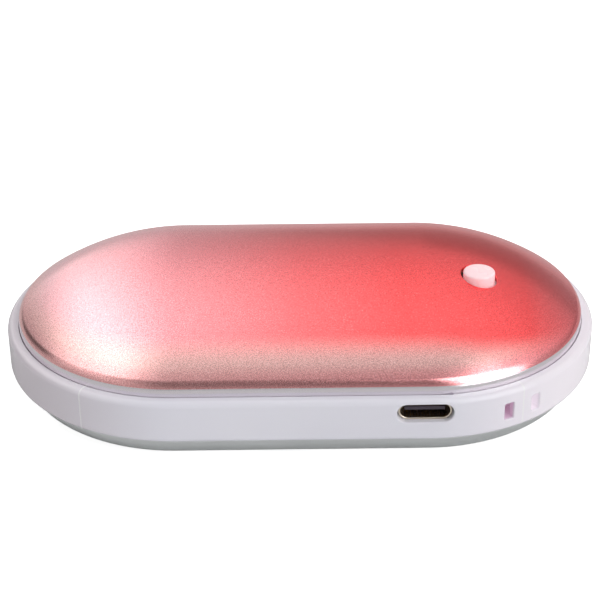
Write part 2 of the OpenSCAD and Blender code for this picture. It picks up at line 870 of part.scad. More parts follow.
// Button
module button_cap() {
  color([1, 0.85, 0.85]) translate([button_x, button_y, 0]) {
    translate([0, 0, flange_base]) cylinder(h = cap_top - cap_edge - flange_base, r = cap_radius);
    translate([0, 0, cap_top - 2 * cap_edge]) cylinder(h = 2 * cap_edge, r = cap_radius - cap_edge);
    translate([0, 0, cap_top - cap_edge]) rotate_extrude()
      translate([cap_radius - cap_edge, 0]) circle(cap_edge);
    translate([0, 0, flange_base]) cylinder(h = flange_thick, r = flange_radius);
    translate([0, 0, plunger_top]) cylinder(h = flange_base - plunger_top + 0.1, r = stem_radius);
  }
}

module button_bracket() {
  guide_radius = stem_radius + stem_gap + 1.3;
  guide_top = flange_base - button_travel - 0.7;
  color([0.93, 0.93, 0.9]) translate([button_x, button_y, 0]) difference() {
    union() {
      translate([-bracket_width / 2, -bracket_reach, bracket_z])
        cube([bracket_width, 2 * bracket_reach, bracket_wall]);
      translate([0, 0, bracket_z]) cylinder(h = guide_top - bracket_z, r = guide_radius);
      for (side = [0, 1]) mirror([0, side, 0]) {
        translate([-bracket_width / 2, bracket_reach - bracket_wall, board_top])
          cube([bracket_width, bracket_wall, bracket_z + bracket_wall - board_top]);
        translate([-bracket_width / 2, bracket_reach - bracket_wall, board_top])
          cube([bracket_width, bracket_foot + bracket_wall, foot_tall]);
      }
    }
    cylinder(h = total_height, r = stem_radius + stem_gap);
    for (y = board_screw_y) translate([0, y - button_y, 0]) cylinder(h = total_height, r = screw_hole);
  }
}

module status_leds() {
  led = [1.6, 0.8, 0.6];
  color([1, 0.95, 0.6]) at_switch() for (i = [-1, 1], j = [-1, 1])
    translate([i * 2.2 - led[0] / 2, j * (switch_width / 2 + 1.2) - led[1] / 2, 0]) cube(led);
}

// Small parts on the board, each placed from the button's axis along the body and from the middle line
control_chip_at = [9.4, 8];
charger_chip_at = [9.4, -1.6];
inductor_at = [9, -10.2];
mosfet_at = [3.4, 16];
mosfet_pitch = 4.6;
capacitor_at = [14, -8];
capacitor_pitch = 3;
resistor_at = [4.8, -2.6];
resistor_pitch = 2.2;

module on_board(at) {
  translate([button_x + at[0], at[1], board_top]) children();
}

module small_outline(pins) {
  pitch = 1.27;
  body = [3.9, pins / 2 * pitch, 1.35];
  lead = 0.4;
  bent = [[0, 0.75], [0, 0.55], [0.45, 0.55], [0.45, 0], [1.05, 0], [1.05, 0.2], [0.65, 0.2], [0.65, 0.75]];
  translate([0, 0, 0.1 + body[2] / 2]) cube(body, center = true);
  for (side = [0, 1], i = [0:pins / 2 - 1])
    mirror([side, 0, 0])
      translate([body[0] / 2, (i - (pins / 2 - 1) / 2) * pitch + lead / 2, 0])
        rotate([90, 0, 0]) linear_extrude(lead) polygon(bent);
}

module control_chip() {
  color([0.12, 0.12, 0.13]) on_board(control_chip_at) small_outline(pins = 16);
}

module charger_chip() {
  color([0.12, 0.12, 0.13]) on_board(charger_chip_at) small_outline(pins = 8);
}

module power_inductor() {
  coil = 6;
  tall = 3;
  color([0.25, 0.25, 0.27]) on_board(inductor_at) difference() {
    linear_extrude(tall) rounded_square(coil, coil, 1.2);
    translate([0, 0, tall - 0.3]) cylinder(h = over, r = 2.1);
  }
}

module heater_mosfets() {
  body = [2.9, 1.6, 1];
  pin = [0.4, 0.7, 0.4];
  color([0.13, 0.13, 0.14]) for (i = [0, 1]) on_board(mosfet_at + [i * mosfet_pitch, 0]) {
    translate([-body[0] / 2, -body[1] / 2, 0]) cube(body);
    for (x = [-0.95, 0.95]) translate([x - pin[0] / 2, -body[1] / 2 - pin[1], 0]) cube(pin);
    translate([-pin[0] / 2, body[1] / 2, 0]) cube(pin);
  }
}

module chips_in_a_row(size, at, pitch, count) {
  for (i = [0:count - 1])
    on_board(at + [0, i * pitch] - [size[0], size[1]] / 2) cube(size);
}

module chip_capacitors() {
  body = [1.25, 2, 0.9];
  beside_port = [port_x - button_x - port_width / 2 - 1.4, port_front + 5];
  color([0.6, 0.48, 0.35]) {
    chips_in_a_row(body, capacitor_at, capacitor_pitch, count = 5);
    chips_in_a_row(body, beside_port, capacitor_pitch, count = 1);
  }
}

module chip_resistors() {
  body = [0.8, 1.6, 0.5];
  color([0.08, 0.08, 0.08]) chips_in_a_row(body, resistor_at, resistor_pitch, count = 7);
}

// Wires of the heaters and sensors
module top_heater_leads() {
  face = foam_depth;
  for (side = [0, 1]) {
    y = 11 + 2 * side;
    start = [top_film_finish - 2, y, crown_z(off_spine(top_film_finish - 2, y), face) - heater_wire];
    color([0.9, 0.9, 0.9]) tube([start, start + [2, 0.4, -0.4], [end_finish + 2.2, y + 3, board_top + 9],
      [button_x, y + 5, board_top + 4], [button_x, y + 5.4, board_top + 1],
      [button_x, y + 5.4, board_top]], [[0, heater_wire], [1, heater_wire]]);
  }
}

module bottom_heater_leads() {
  floor_z = shell_wall + film_thick;
  solder_inset = 6.5;
  for (side = [0, 1]) {
    y = 8 + 2 * side;
    x = spine + film_half - solder_inset;
    low = floor_z + heater_wire + skin;
    color([0.9, 0.9, 0.9]) tube([[x, y, low], [x + 2.5, y, low + 0.4], [x + 5.4, y, low + 2.6],
      [x + 6.8, y, board_base - 1.2], [x + 6.8, y, board_base]],
      [[0, heater_wire], [1, heater_wire]]);
  }
}

module top_thermistor() {
  x = end_finish - 5;
  y = 6;
  top = crown_z(y + bead_radius, track_depth) - bead_radius - 0.1;
  color([0.1, 0.1, 0.12]) tube([[x, y, top], [x + 2.4, y + 0.4, top - 0.2], [end_finish + 2, y + 4, top - 3.8],
    [pad_x + 0.3, y + 8.4, board_top + 6], [pad_x + 0.5, y + 9.6, board_top + 1],
    [pad_x + 0.5, y + 9.6, board_top]],
    [[0, 0.5], [0.04, bead_radius], [0.12, bead_radius], [0.18, heater_wire], [1, heater_wire]]);
}

module bottom_thermistor() {
  bead_inset = 8.6;
  x = spine + film_half - bead_inset;
  y = -4;
  bend_dip = 0.12;
  low = shell_wall + film_thick + bead_radius + bend_dip;
  color([0.1, 0.1, 0.12]) tube([[x, y, low], [x + 2, y, low], [x + 5.6, y, low + 1.4],
    [x + 8, y, board_base - 1.6], [x + 8, y, board_base]],
    [[0, 0.5], [0.06, bead_radius], [0.2, bead_radius], [0.3, heater_wire], [1, heater_wire]]);
}

top_shell();
bottom_shell();
mid_frame();
top_adhesive_ring();
bottom_adhesive_ring();
top_heater_film();
top_heater_track();
bottom_heater_film();
bottom_heater_track();
top_foam_pad();
bottom_foam_pad();
cell_cradle();
cell_straps();
chassis_screws();
front_cell();
rear_cell();
front_cell_sleeve();
rear_cell_sleeve();
cell_insulator_rings();
positive_strip();
negative_strip();
positive_lead();
negative_lead();
circuit_board();
board_screws();
usb_c_shell();
usb_c_tongue();
usb_c_contacts();
switch_base();
switch_cover();
switch_dome();
switch_plunger();
switch_legs();
button_cap();
button_bracket();
status_leds();
control_chip();
charger_chip();
power_inductor();
heater_mosfets();
chip_capacitors();
chip_resistors();
top_heater_leads();
bottom_heater_leads();
top_thermistor();
bottom_thermistor();
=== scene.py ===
import math

import bmesh
import bpy
from mathutils import Matrix, Vector


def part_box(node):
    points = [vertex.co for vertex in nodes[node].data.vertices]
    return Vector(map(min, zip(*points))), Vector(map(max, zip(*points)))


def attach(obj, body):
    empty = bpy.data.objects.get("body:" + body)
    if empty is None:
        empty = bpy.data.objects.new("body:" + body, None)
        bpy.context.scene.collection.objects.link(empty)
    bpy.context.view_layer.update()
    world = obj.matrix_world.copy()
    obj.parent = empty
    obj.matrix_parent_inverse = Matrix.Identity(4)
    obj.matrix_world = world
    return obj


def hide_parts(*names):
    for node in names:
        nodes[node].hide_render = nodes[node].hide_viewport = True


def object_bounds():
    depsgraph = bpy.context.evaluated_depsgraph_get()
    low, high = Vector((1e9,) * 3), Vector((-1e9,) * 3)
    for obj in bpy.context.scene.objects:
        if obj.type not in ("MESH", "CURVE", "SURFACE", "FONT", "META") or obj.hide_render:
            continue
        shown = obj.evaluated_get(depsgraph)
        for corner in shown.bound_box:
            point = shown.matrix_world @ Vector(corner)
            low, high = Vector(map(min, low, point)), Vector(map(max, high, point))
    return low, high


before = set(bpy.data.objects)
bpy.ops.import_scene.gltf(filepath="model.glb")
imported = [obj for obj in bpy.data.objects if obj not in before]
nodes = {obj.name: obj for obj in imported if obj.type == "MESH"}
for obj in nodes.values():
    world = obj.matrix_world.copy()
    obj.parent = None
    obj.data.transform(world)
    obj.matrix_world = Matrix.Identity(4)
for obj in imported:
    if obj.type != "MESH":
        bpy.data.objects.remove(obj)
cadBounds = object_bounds()
millimetre = 0.001
scene = bpy.context.scene


# small tools for meshes
def mm(*values):
    return Vector(values) * millimetre


def objectFrom(name, mesh):
    thing = bpy.data.objects.new(name, mesh)
    scene.collection.objects.link(thing)
    return thing


def meshFrom(name, points, faces=(), edges=()):
    mesh = bpy.data.meshes.new(name)
    mesh.from_pydata([tuple(p) for p in points], list(edges), list(faces))
    mesh.update()
    return mesh


def bakeModifiers(thing):
    # turns a piece with live modifiers into a plain mesh
    bpy.context.view_layer.update()
    seen = thing.evaluated_get(bpy.context.evaluated_depsgraph_get())
    mesh = bpy.data.meshes.new_from_object(seen)
    old = thing.data
    thing.modifiers.clear()
    thing.data = mesh
    bpy.data.meshes.remove(old)
    return thing


def cleanSurface(thing, sharpAbove=32, weld=0.000001):
    # welds doubles, turns faces outwards and keeps only real corners sharp
    work = bmesh.new()
    work.from_mesh(thing.data)
    bmesh.ops.remove_doubles(work, verts=work.verts, dist=weld)
    bmesh.ops.dissolve_degenerate(work, dist=weld, edges=work.edges)
    bmesh.ops.recalc_face_normals(work, faces=work.faces)
    limit = math.radians(sharpAbove)
    for face in work.faces:
        face.smooth = True
    for edge in work.edges:
        edge.smooth = len(edge.link_faces) == 2 and edge.calc_face_angle(0) < limit
    work.to_mesh(thing.data)
    work.free()
    thing.data.update()
    return thing


def cutOrJoin(thing, other, how):
    paint = thing.data.polygons[0].material_index
    tool = thing.modifiers.new(how, "BOOLEAN")
    tool.operation = how
    tool.solver = "EXACT"
    tool.object = other
    bakeModifiers(thing)
    for face in thing.data.polygons:
        face.material_index = paint
    bpy.data.objects.remove(other)
    return thing


def arcPoints(centreW, centreZ, radius, start, finish, steps):
    return [(centreW + radius * math.cos(math.radians(start + (finish - start) * k / steps)),
             centreZ + radius * math.sin(math.radians(start + (finish - start) * k / steps)))
            for k in range(steps + 1)]


def spreadLine(first, last, steps):
    return [(first[0] + (last[0] - first[0]) * k / steps, first[1] + (last[1] - first[1]) * k / steps)
            for k in range(1, steps)]


def ringStack(name, rings):
    # closed skin over a stack of rings that all have the same number of points
    count = len(rings[0])
    points = [p for ring in rings for p in ring]
    faces = [tuple(reversed(range(count)))]
    for r in range(len(rings) - 1):
        for k in range(count):
            a, b = r * count + k, r * count + (k + 1) % count
            faces.append((a, b, b + count, a + count))
    faces.append(tuple(range((len(rings) - 1) * count, len(rings) * count)))
    thing = objectFrom(name, meshFrom(name, points, faces))
    return cleanSurface(thing)


# node helpers: a socket is linked, and anything else is set
def giveInput(tree, socket, value):
    if isinstance(value, bpy.types.NodeSocket):
        tree.links.new(value, socket)
    elif value is not None:
        socket.default_value = (*value, 1.0) if isinstance(value, tuple) and socket.type == "RGBA" else value


def feed(tree, node, **sources):
    # an input's name has _ for each space
    for label, value in sources.items():
        giveInput(tree, node.inputs[label.replace("_", " ")], value)
    return node


def nodeMath(tree, operation, a, b=None, clamp=False):
    node = tree.nodes.new("ShaderNodeMath")
    node.operation = operation
    node.use_clamp = clamp
    giveInput(tree, node.inputs[0], a)
    giveInput(tree, node.inputs[1], b)
    return node.outputs[0]


def times(tree, a, b):
    return nodeMath(tree, "MULTIPLY", a, b)


def plus(tree, a, b):
    return nodeMath(tree, "ADD", a, b)


def minus(tree, a, b):
    return nodeMath(tree, "SUBTRACT", a, b)


def above(tree, a, b):
    return nodeMath(tree, "GREATER_THAN", a, b)


def spanOf(tree, a, b):
    return nodeMath(tree, "SQRT", plus(tree, times(tree, a, a), times(tree, b, b)))


def vectorMath(tree, operation, a, b):
    node = tree.nodes.new("ShaderNodeVectorMath")
    node.operation = operation
    giveInput(tree, node.inputs[0], a)
    giveInput(tree, node.inputs[1], b)
    return node.outputs["Value" if operation == "DOT_PRODUCT" else "Vector"]


def splitAxes(tree, vector):
    return feed(tree, tree.nodes.new("ShaderNodeSeparateXYZ"), Vector=vector).outputs


# a profile carried round a long round-ended path
def carriedProfileTree():
    tree = bpy.data.node_groups.new("carriedProfile", "GeometryNodeTree")
    for label, kind, value in (("Profile", "Geometry", None), ("Half Spine", "Float", 0.02),
                               ("Round Steps", "Int", 96), ("Straight Steps", "Int", 24),
                               ("Weld", "Float", 0.000002), ("Finish", "Material", None)):
        socket = tree.interface.new_socket(name=label, in_out="INPUT", socket_type="NodeSocket" + kind)
        if value is not None:
            socket.default_value = value
    tree.interface.new_socket(name="Surface", in_out="OUTPUT", socket_type="NodeSocketGeometry")
    start = tree.nodes.new("NodeGroupInput").outputs

    def add(kind, **sources):
        return feed(tree, tree.nodes.new(kind), **sources)

    pointCount = add("GeometryNodeAttributeDomainSize", Geometry=start["Profile"]).outputs["Point Count"]
    rounds, straights = start["Round Steps"], start["Straight Steps"]
    steps = times(tree, plus(tree, rounds, straights), 2)
    grid = add("GeometryNodeMeshGrid", Size_X=1, Size_Y=1, Vertices_X=plus(tree, steps, 1), Vertices_Y=pointCount)

    place = add("GeometryNodeInputPosition").outputs[0]
    spotX, spotY, _ = splitAxes(tree, place)
    along = nodeMath(tree, "ROUND", times(tree, plus(tree, spotX, 0.5), steps))
    across = nodeMath(tree, "ROUND", times(tree, plus(tree, spotY, 0.5), minus(tree, pointCount, 1)))

    pick = tree.nodes.new("GeometryNodeSampleIndex")
    pick.data_type = "FLOAT_VECTOR"
    pick.domain = "POINT"
    feed(tree, pick, Geometry=start["Profile"], Value=place, Index=across)
    reach, _, height = splitAxes(tree, pick.outputs[0])

    def share(before, length):
        return nodeMath(tree, "DIVIDE", minus(tree, along, before), length, clamp=True)

    afterRight = plus(tree, straights, rounds)
    afterBack = plus(tree, afterRight, straights)
    front, right = share(0, straights), share(straights, rounds)
    back, left = share(afterRight, straights), share(afterBack, rounds)
    slide = minus(tree, times(tree, minus(tree, front, back), 2), 1)
    turn = times(tree, plus(tree, right, left), math.pi)
    middle = times(tree, slide, start["Half Spine"])
    spot = add("ShaderNodeCombineXYZ", X=plus(tree, middle, times(tree, reach, nodeMath(tree, "SINE", turn))),
               Y=times(tree, times(tree, reach, nodeMath(tree, "COSINE", turn)), -1), Z=height)

    move = add("GeometryNodeSetPosition", Geometry=grid.outputs["Mesh"], Position=spot.outputs[0])
    weld = add("GeometryNodeMergeByDistance", Geometry=move.outputs[0], Distance=start["Weld"])
    smooth = add("GeometryNodeSetShadeSmooth", Geometry=weld.outputs[0])
    real = add("GeometryNodeRealizeInstances", Geometry=smooth.outputs[0])
    paint = add("GeometryNodeSetMaterial", Geometry=real.outputs[0], Material=start["Finish"])
    feed(tree, tree.nodes.new("NodeGroupOutput"), Surface=paint.outputs[0])
    return tree


profileTree = carriedProfileTree()


def setInput(modifier, label, value):
    for item in modifier.node_group.interface.items_tree:
        if item.name == label and item.in_out == "INPUT":
            modifier[item.identifier] = value


def carryProfile(name, profile, halfSpine, finish, roundSteps=128, straightSteps=32, sharpAbove=32):
    # profile: (distance from the spine, height) in millimetres, in order
    points = [mm(w, 0, z) for w, z in profile]
    thing = objectFrom(name, meshFrom(name, points, edges=[(k, k + 1) for k in range(len(points) - 1)]))
    carried = thing.modifiers.new("carriedProfile", "NODES")
    carried.node_group = profileTree
    for label, value in (("Half Spine", halfSpine * millimetre), ("Round Steps", roundSteps),
                         ("Straight Steps", straightSteps), ("Finish", finish)):
        setInput(carried, label, value)
    bakeModifiers(thing)
    return cleanSurface(thing, sharpAbove)


print("tools ready")


def shaderGroup(name, inputs, outputs):
    # an input with no number is a vector, and every output is a number
    tree = bpy.data.node_groups.new(name, "ShaderNodeTree")
    for label, value in inputs.items():
        kind = "NodeSocketFloat" if isinstance(value, float) else "NodeSocketVector"
        socket = tree.interface.new_socket(name=label, in_out="INPUT", socket_type=kind)
        if value is not None:
            socket.default_value = value
    for label in outputs:
        tree.interface.new_socket(name=label, in_out="OUTPUT", socket_type="NodeSocketFloat")
    return tree, tree.nodes.new("NodeGroupInput").outputs, tree.nodes.new("NodeGroupOutput")


def noise(tree, vector, scale, detail=2.0, roughness=0.5):
    return feed(tree, tree.nodes.new("ShaderNodeTexNoise"), Vector=vector, Scale=scale, Detail=detail,
                Roughness=roughness).outputs[0]


def sizedNoise(tree, start, label, detail):
    return noise(tree, start["Vector"], nodeMath(tree, "DIVIDE", 1.0, start[label]), detail)


def spread(tree, value, low, high, toLow=0.0, toHigh=1.0, kind="LINEAR"):
    node = tree.nodes.new("ShaderNodeMapRange")
    node.interpolation_type = kind
    for socket, number in zip(node.inputs, (value, low, high, toLow, toHigh)):
        giveInput(tree, socket, number)
    return node.outputs[0]


def blendColour(tree, share, first, second, how="MIX"):
    node = tree.nodes.new("ShaderNodeMix")
    node.data_type = "RGBA"
    node.blend_type = how
    for index, value in ((0, share), (6, first), (7, second)):
        giveInput(tree, node.inputs[index], value)
    return node.outputs[2]


def unevenRoughness(tree, start, wander):
    return plus(tree, start["Base Roughness"], times(tree, wander, start["Roughness Spread"]))


def blastGrainGroup():
    # fine pitted skin of bead-blasted, anodised metal
    tree, start, end = shaderGroup("blastGrain", {"Vector": None, "Grain Size": 0.00028, "Base Roughness": 0.3,
                                                  "Roughness Spread": 0.1}, ("Height", "Fleck", "Shade", "Roughness"))
    scale = nodeMath(tree, "DIVIDE", 1.0, start["Grain Size"])
    fine = noise(tree, start["Vector"], scale, 3.0, 0.65)
    coarse = noise(tree, start["Vector"], times(tree, scale, 0.45))
    feed(tree, end, Height=plus(tree, times(tree, fine, 0.7), times(tree, coarse, 0.3)),
         Fleck=spread(tree, fine, 0.60, 0.74), Shade=spread(tree, fine, 0.3, 0.7),
         Roughness=unevenRoughness(tree, start, minus(tree, coarse, 0.5)))
    return tree


def mouldedSkinGroup():
    # slow drift in shade and faint waves of moulded plastic
    tree, start, end = shaderGroup("mouldedSkin", {"Vector": None, "Drift Size": 0.02, "Texture Size": 0.0004,
                                                   "Base Roughness": 0.3, "Roughness Spread": 0.08},
                                   ("Drift", "Height", "Roughness"))
    drift = sizedNoise(tree, start, "Drift Size", 1.0)
    feed(tree, end, Drift=drift, Height=sizedNoise(tree, start, "Texture Size", 2.0),
         Roughness=unevenRoughness(tree, start, minus(tree, drift, 0.5)))
    return tree


def drawnMetalGroup():
    # long fine streaks of rolled, drawn or turned metal, along one axis of the vector
    tree, start, end = shaderGroup("drawnMetal", {"Vector": None, "Streak Size": 0.0002, "Stretch": (1.0, 0.05, 1.0),
                                                  "Base Roughness": 0.25, "Roughness Spread": 0.2},
                                   ("Streak", "Height", "Roughness"))
    pulled = vectorMath(tree, "MULTIPLY", start["Vector"], start["Stretch"])
    streak = noise(tree, pulled, nodeMath(tree, "DIVIDE", 1.0, start["Streak Size"]), 3.0, 0.6)
    smudge = noise(tree, start["Vector"], 300.0)
    wander = plus(tree, minus(tree, streak, 0.5), times(tree, minus(tree, smudge, 0.5), 0.6))
    feed(tree, end, Streak=streak, Height=streak, Roughness=unevenRoughness(tree, start, wander))
    return tree


blastGrain = blastGrainGroup()
mouldedSkin = mouldedSkinGroup()
drawnMetal = drawnMetalGroup()
print("shader groups ready")


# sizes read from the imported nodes, in millimetres
def boxMm(name):
    low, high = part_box(name)
    return low / millimetre, high / millimetre


frameLow, frameHigh = boxMm("mid_frame")
capLow, capHigh = boxMm("button_cap")
socketLow, socketHigh = boxMm("usb_c_shell")

halfWidth = frameHigh.y
topBase = frameHigh.z
halfSpine = 21.2
shellReach = boxMm("top_shell")[1].y
shellWall = 0.8


def newMaterial(name):
    material = bpy.data.materials.new(name)
    material.use_nodes = True
    tree = material.node_tree
    place = tree.nodes.new("ShaderNodeTexCoord").outputs["Object"]
    return material, tree, tree.nodes["Principled BSDF"], place


def useGroup(tree, group, **values):
    node = tree.nodes.new("ShaderNodeGroup")
    node.node_tree = group
    return feed(tree, node, **values).outputs


def bump(tree, height, depth):
    return feed(tree, tree.nodes.new("ShaderNodeBump"), Strength=1.0, Distance=depth, Height=height).outputs[0]


roseLook = {
    "rose": (0.90, 0.52, 0.49),
    "dusk": (0.82, 0.45, 0.43),
    # sides of the shell at the left and at the right tip
    "sideLeft": (0.93, 0.49, 0.48), "sideRight": (0.90, 0.32, 0.34), "sideStart": 0.0255, "sideEnd": 0.028,
    # painted coral glow along the crown, partly the shell's own warm rose tint: place in metres and colour
    "paintedGlow": ((-0.046, (1.0, 0.52, 0.55)), (-0.026, (1.0, 0.37, 0.40)), (-0.009, (1.0, 0.245, 0.262)),
             (0.0, (1.0, 0.178, 0.188)), (0.017, (1.0, 0.112, 0.116)), (0.039, (0.98, 0.104, 0.108)),
             (0.052, (0.94, 0.24, 0.26))),
    "paintedGlowBack": 0.003, "paintedGlowRight": 0.006, "paintedGlowInside": 0.0232, "paintedGlowEdge": 0.0288,
    "lip": (0.80, 0.755, 0.79), "lipHeight": 1.45, "lipRoughness": 0.2, "lipBlur": 0.00003,
    "grain": 0.00017, "grainDepth": 0.000006, "fleck": 0.22, "fleckColour": (1.0, 0.82, 0.80), "shade": 0.42,
    "roughness": 0.21, "roughnessSpread": 0.06, "cloudScale": 90.0, "cloud": 0.25,
}


def roseAnodised():
    look = roseLook
    material, tree, shader, place = newMaterial("roseAnodised")
    grain = useGroup(tree, blastGrain, Vector=place, Grain_Size=look["grain"], Base_Roughness=look["roughness"],
                     Roughness_Spread=look["roughnessSpread"])
    along, side, height = splitAxes(tree, place)
    # distance from the spine, then from a line over the crown that the painted coral glow follows
    past = nodeMath(tree, "MAXIMUM", minus(tree, nodeMath(tree, "ABSOLUTE", along), halfSpine * millimetre), 0.0)
    out = spanOf(tree, past, side)
    right = times(tree, above(tree, along, 0.0), look["paintedGlowRight"])
    reach = spanOf(tree, nodeMath(tree, "MAXIMUM", minus(tree, past, right), 0.0),
                   minus(tree, side, look["paintedGlowBack"]))
    paintedGlow = spread(tree, reach, look["paintedGlowEdge"], look["paintedGlowInside"], kind="SMOOTHSTEP")
    first, last = look["paintedGlow"][0][0], look["paintedGlow"][-1][0]
    slide = spread(tree, along, first, last)
    paintedGlowRamp = feed(tree, tree.nodes.new("ShaderNodeValToRGB"), Fac=slide)
    stops = paintedGlowRamp.color_ramp.elements
    for spot, _ in look["paintedGlow"][1:-1]:
        stops.new((spot - first) / (last - first))
    for stop, (_, colour) in zip(stops, look["paintedGlow"]):
        stop.color = (*colour, 1.0)
    cloud = spread(tree, noise(tree, place, look["cloudScale"]), 0.3, 0.7, 0.0, look["cloud"])
    body = blendColour(tree, cloud, look["rose"], look["dusk"])
    flank = blendColour(tree, slide, look["sideLeft"], look["sideRight"])
    body = blendColour(tree, spread(tree, out, look["sideStart"], look["sideEnd"], kind="SMOOTHSTEP"), body, flank)
    # blend the painted coral glow over the crown's colour
    tint = blendColour(tree, paintedGlow, body, paintedGlowRamp.outputs[0])
    shade = spread(tree, grain["Shade"], 0.0, 1.0, 1 - look["shade"], 1 + look["shade"])
    tint = blendColour(tree, 1.0, tint, shade, "MULTIPLY")
    fleck = blendColour(tree, times(tree, grain["Fleck"], look["fleck"]), tint, look["fleckColour"])
    # the lip is bare and smooth up to a sharp edge
    edge = (topBase + look["lipHeight"]) * millimetre
    grained = spread(tree, height, edge - look["lipBlur"], edge + look["lipBlur"])
    feed(tree, shader, Base_Color=blendColour(tree, grained, look["lip"], fleck), Metallic=1.0,
         Roughness=spread(tree, grained, 0.0, 1.0, look["lipRoughness"], grain["Roughness"]),
         Normal=bump(tree, times(tree, grain["Height"], grained), look["grainDepth"]))
    return material


silverLook = {"light": (0.76, 0.78, 0.78), "dark": (0.67, 0.69, 0.69), "grain": 0.00026, "grainDepth": 0.000010,
              "fleck": 0.3, "fleckColour": (0.85, 0.86, 0.88), "roughness": 0.34, "roughnessSpread": 0.10,
              "cloudScale": 80.0}


def silverAnodised():
    look = silverLook
    material, tree, shader, place = newMaterial("silverAnodised")
    grain = useGroup(tree, blastGrain, Vector=place, Grain_Size=look["grain"], Base_Roughness=look["roughness"],
                     Roughness_Spread=look["roughnessSpread"])
    body = blendColour(tree, noise(tree, place, look["cloudScale"]), look["light"], look["dark"])
    tint = blendColour(tree, times(tree, grain["Fleck"], look["fleck"]), body, look["fleckColour"])
    feed(tree, shader, Base_Color=tint, Metallic=1.0, Roughness=grain["Roughness"],
         Normal=bump(tree, grain["Height"], look["grainDepth"]))
    return material


frameLook = {"light": (0.87, 0.86, 0.93), "deep": (0.82, 0.81, 0.89), "roughness": 0.14, "waves": 0.0000006,
             # the right end is painted lighter, as painted light; the left end is tinted pinker
             "leftEnd": (0.86, 0.79, 0.85), "rightEndPaintedLight": (1.0, 0.93, 1.0), "endReach": 0.028,
             # painted highlight along the parting line: its colour, angle and half width
             "line": (0.96, 0.94, 0.97), "lineAngle": 30.6, "lineHalf": 0.00012,
             # painted mauve shade inside the windows: its colour, then the depth, start and heights of its mask
             "eye": (0.86, 0.70, 0.84), "eyeDepth": 0.0004, "eyeStart": 0.030, "eyeLow": 2.05, "eyeHigh": 5.35,
             # painted glow (emission) standing in for light that comes through the plastic round the windows, left
             # and right of the post
             "eyeGlow": ((0.055, 0.032, 0.040), (0.16, 0.215, 0.17))}


def framePlastic():
    look = frameLook
    material, tree, shader, place = newMaterial("framePlastic")
    skin = useGroup(tree, mouldedSkin, Vector=place, Drift_Size=0.018, Texture_Size=0.0006,
                    Base_Roughness=look["roughness"], Roughness_Spread=0.06)
    along, side, height = splitAxes(tree, place)
    turn = math.radians(look["lineAngle"])
    # distance past the start of the round end, then from the plane of the parting line
    past = minus(tree, nodeMath(tree, "ABSOLUTE", along), halfSpine * millimetre)
    off = nodeMath(tree, "ABSOLUTE", plus(tree, times(tree, past, math.cos(turn)), times(tree, side, math.sin(turn))))
    # painted highlight along the parting line, drawn on the front half only
    line = times(tree, spread(tree, off, look["lineHalf"] * 1.6, look["lineHalf"] * 0.6),
                 nodeMath(tree, "LESS_THAN", side, 0.0))
    # mask of the window insides, which get a painted mauve shade and a painted glow
    within = times(tree, above(tree, height, (frameLow.z + look["eyeLow"]) * millimetre),
                   nodeMath(tree, "LESS_THAN", height, (frameLow.z + look["eyeHigh"]) * millimetre))
    wall, depth = halfWidth * millimetre, look["eyeDepth"]
    eye = times(tree, spread(tree, spanOf(tree, past, side), wall - depth / 2, wall - depth * 1.5), within)
    eye = times(tree, eye, above(tree, along, look["eyeStart"]))
    # painted light at the ends: the right end lighter, the left end pinker
    endTintAndLight = blendColour(tree, above(tree, along, 0.0), look["leftEnd"], look["rightEndPaintedLight"])
    tint = blendColour(tree, skin["Drift"], look["light"], look["deep"])
    tint = blendColour(tree, spread(tree, past, 0.0, look["endReach"], kind="SMOOTHSTEP"), tint, endTintAndLight)
    # painted parting-line highlight, then the painted mauve shade inside the windows
    tint = blendColour(tree, eye, blendColour(tree, line, tint, look["line"]), look["eye"])
    postX = (halfSpine + halfWidth * math.sin(turn)) * millimetre
    eyePaintedGlowColour = blendColour(tree, above(tree, along, postX), *look["eyeGlow"])
    feed(tree, shader, Base_Color=tint, Roughness=skin["Roughness"], IOR=1.5,
         Emission_Color=blendColour(tree, eye, (0.0, 0.0, 0.0), eyePaintedGlowColour), Emission_Strength=1.0,
         Subsurface_Weight=0.12, Subsurface_Radius=(0.9, 0.8, 0.9), Subsurface_Scale=0.0012,
         Normal=bump(tree, skin["Height"], look["waves"]))
    return material


def plainPlastic(name, light, deep, roughness=0.45, texture=0.00035, depth=0.000004, drift=0.008, **extra):
    # moulded or coated piece: two near shades that drift, and a fine skin
    material, tree, shader, place = newMaterial(name)
    skin = useGroup(tree, mouldedSkin, Vector=place, Drift_Size=drift, Texture_Size=texture,
                    Base_Roughness=roughness, Roughness_Spread=0.12)
    feed(tree, shader, Base_Color=blendColour(tree, skin["Drift"], light, deep), Roughness=skin["Roughness"],
         Normal=bump(tree, skin["Height"], depth), **extra)
    return material


def plainMetal(name, light, deep, roughness=0.25, streak=0.00015, stretch=(1.0, 0.06, 1.0), depth=0.000002):
    # drawn, rolled or plated metal: streaks along one axis
    material, tree, shader, place = newMaterial(name)
    drawn = useGroup(tree, drawnMetal, Vector=place, Streak_Size=streak, Stretch=stretch, Base_Roughness=roughness,
                     Roughness_Spread=0.18)
    feed(tree, shader, Base_Color=blendColour(tree, drawn["Streak"], light, deep), Metallic=1.0,
         Roughness=drawn["Roughness"], Normal=bump(tree, drawn["Height"], depth))
    return material


# the cap carries a faint painted glow (emission) over all of it
buttonLook = {"light": (0.97, 0.72, 0.74), "deep": (0.94, 0.62, 0.65), "buttonPaintedGlow": (1.0, 0.62, 0.64), "buttonPaintedGlowPower": 0.22}


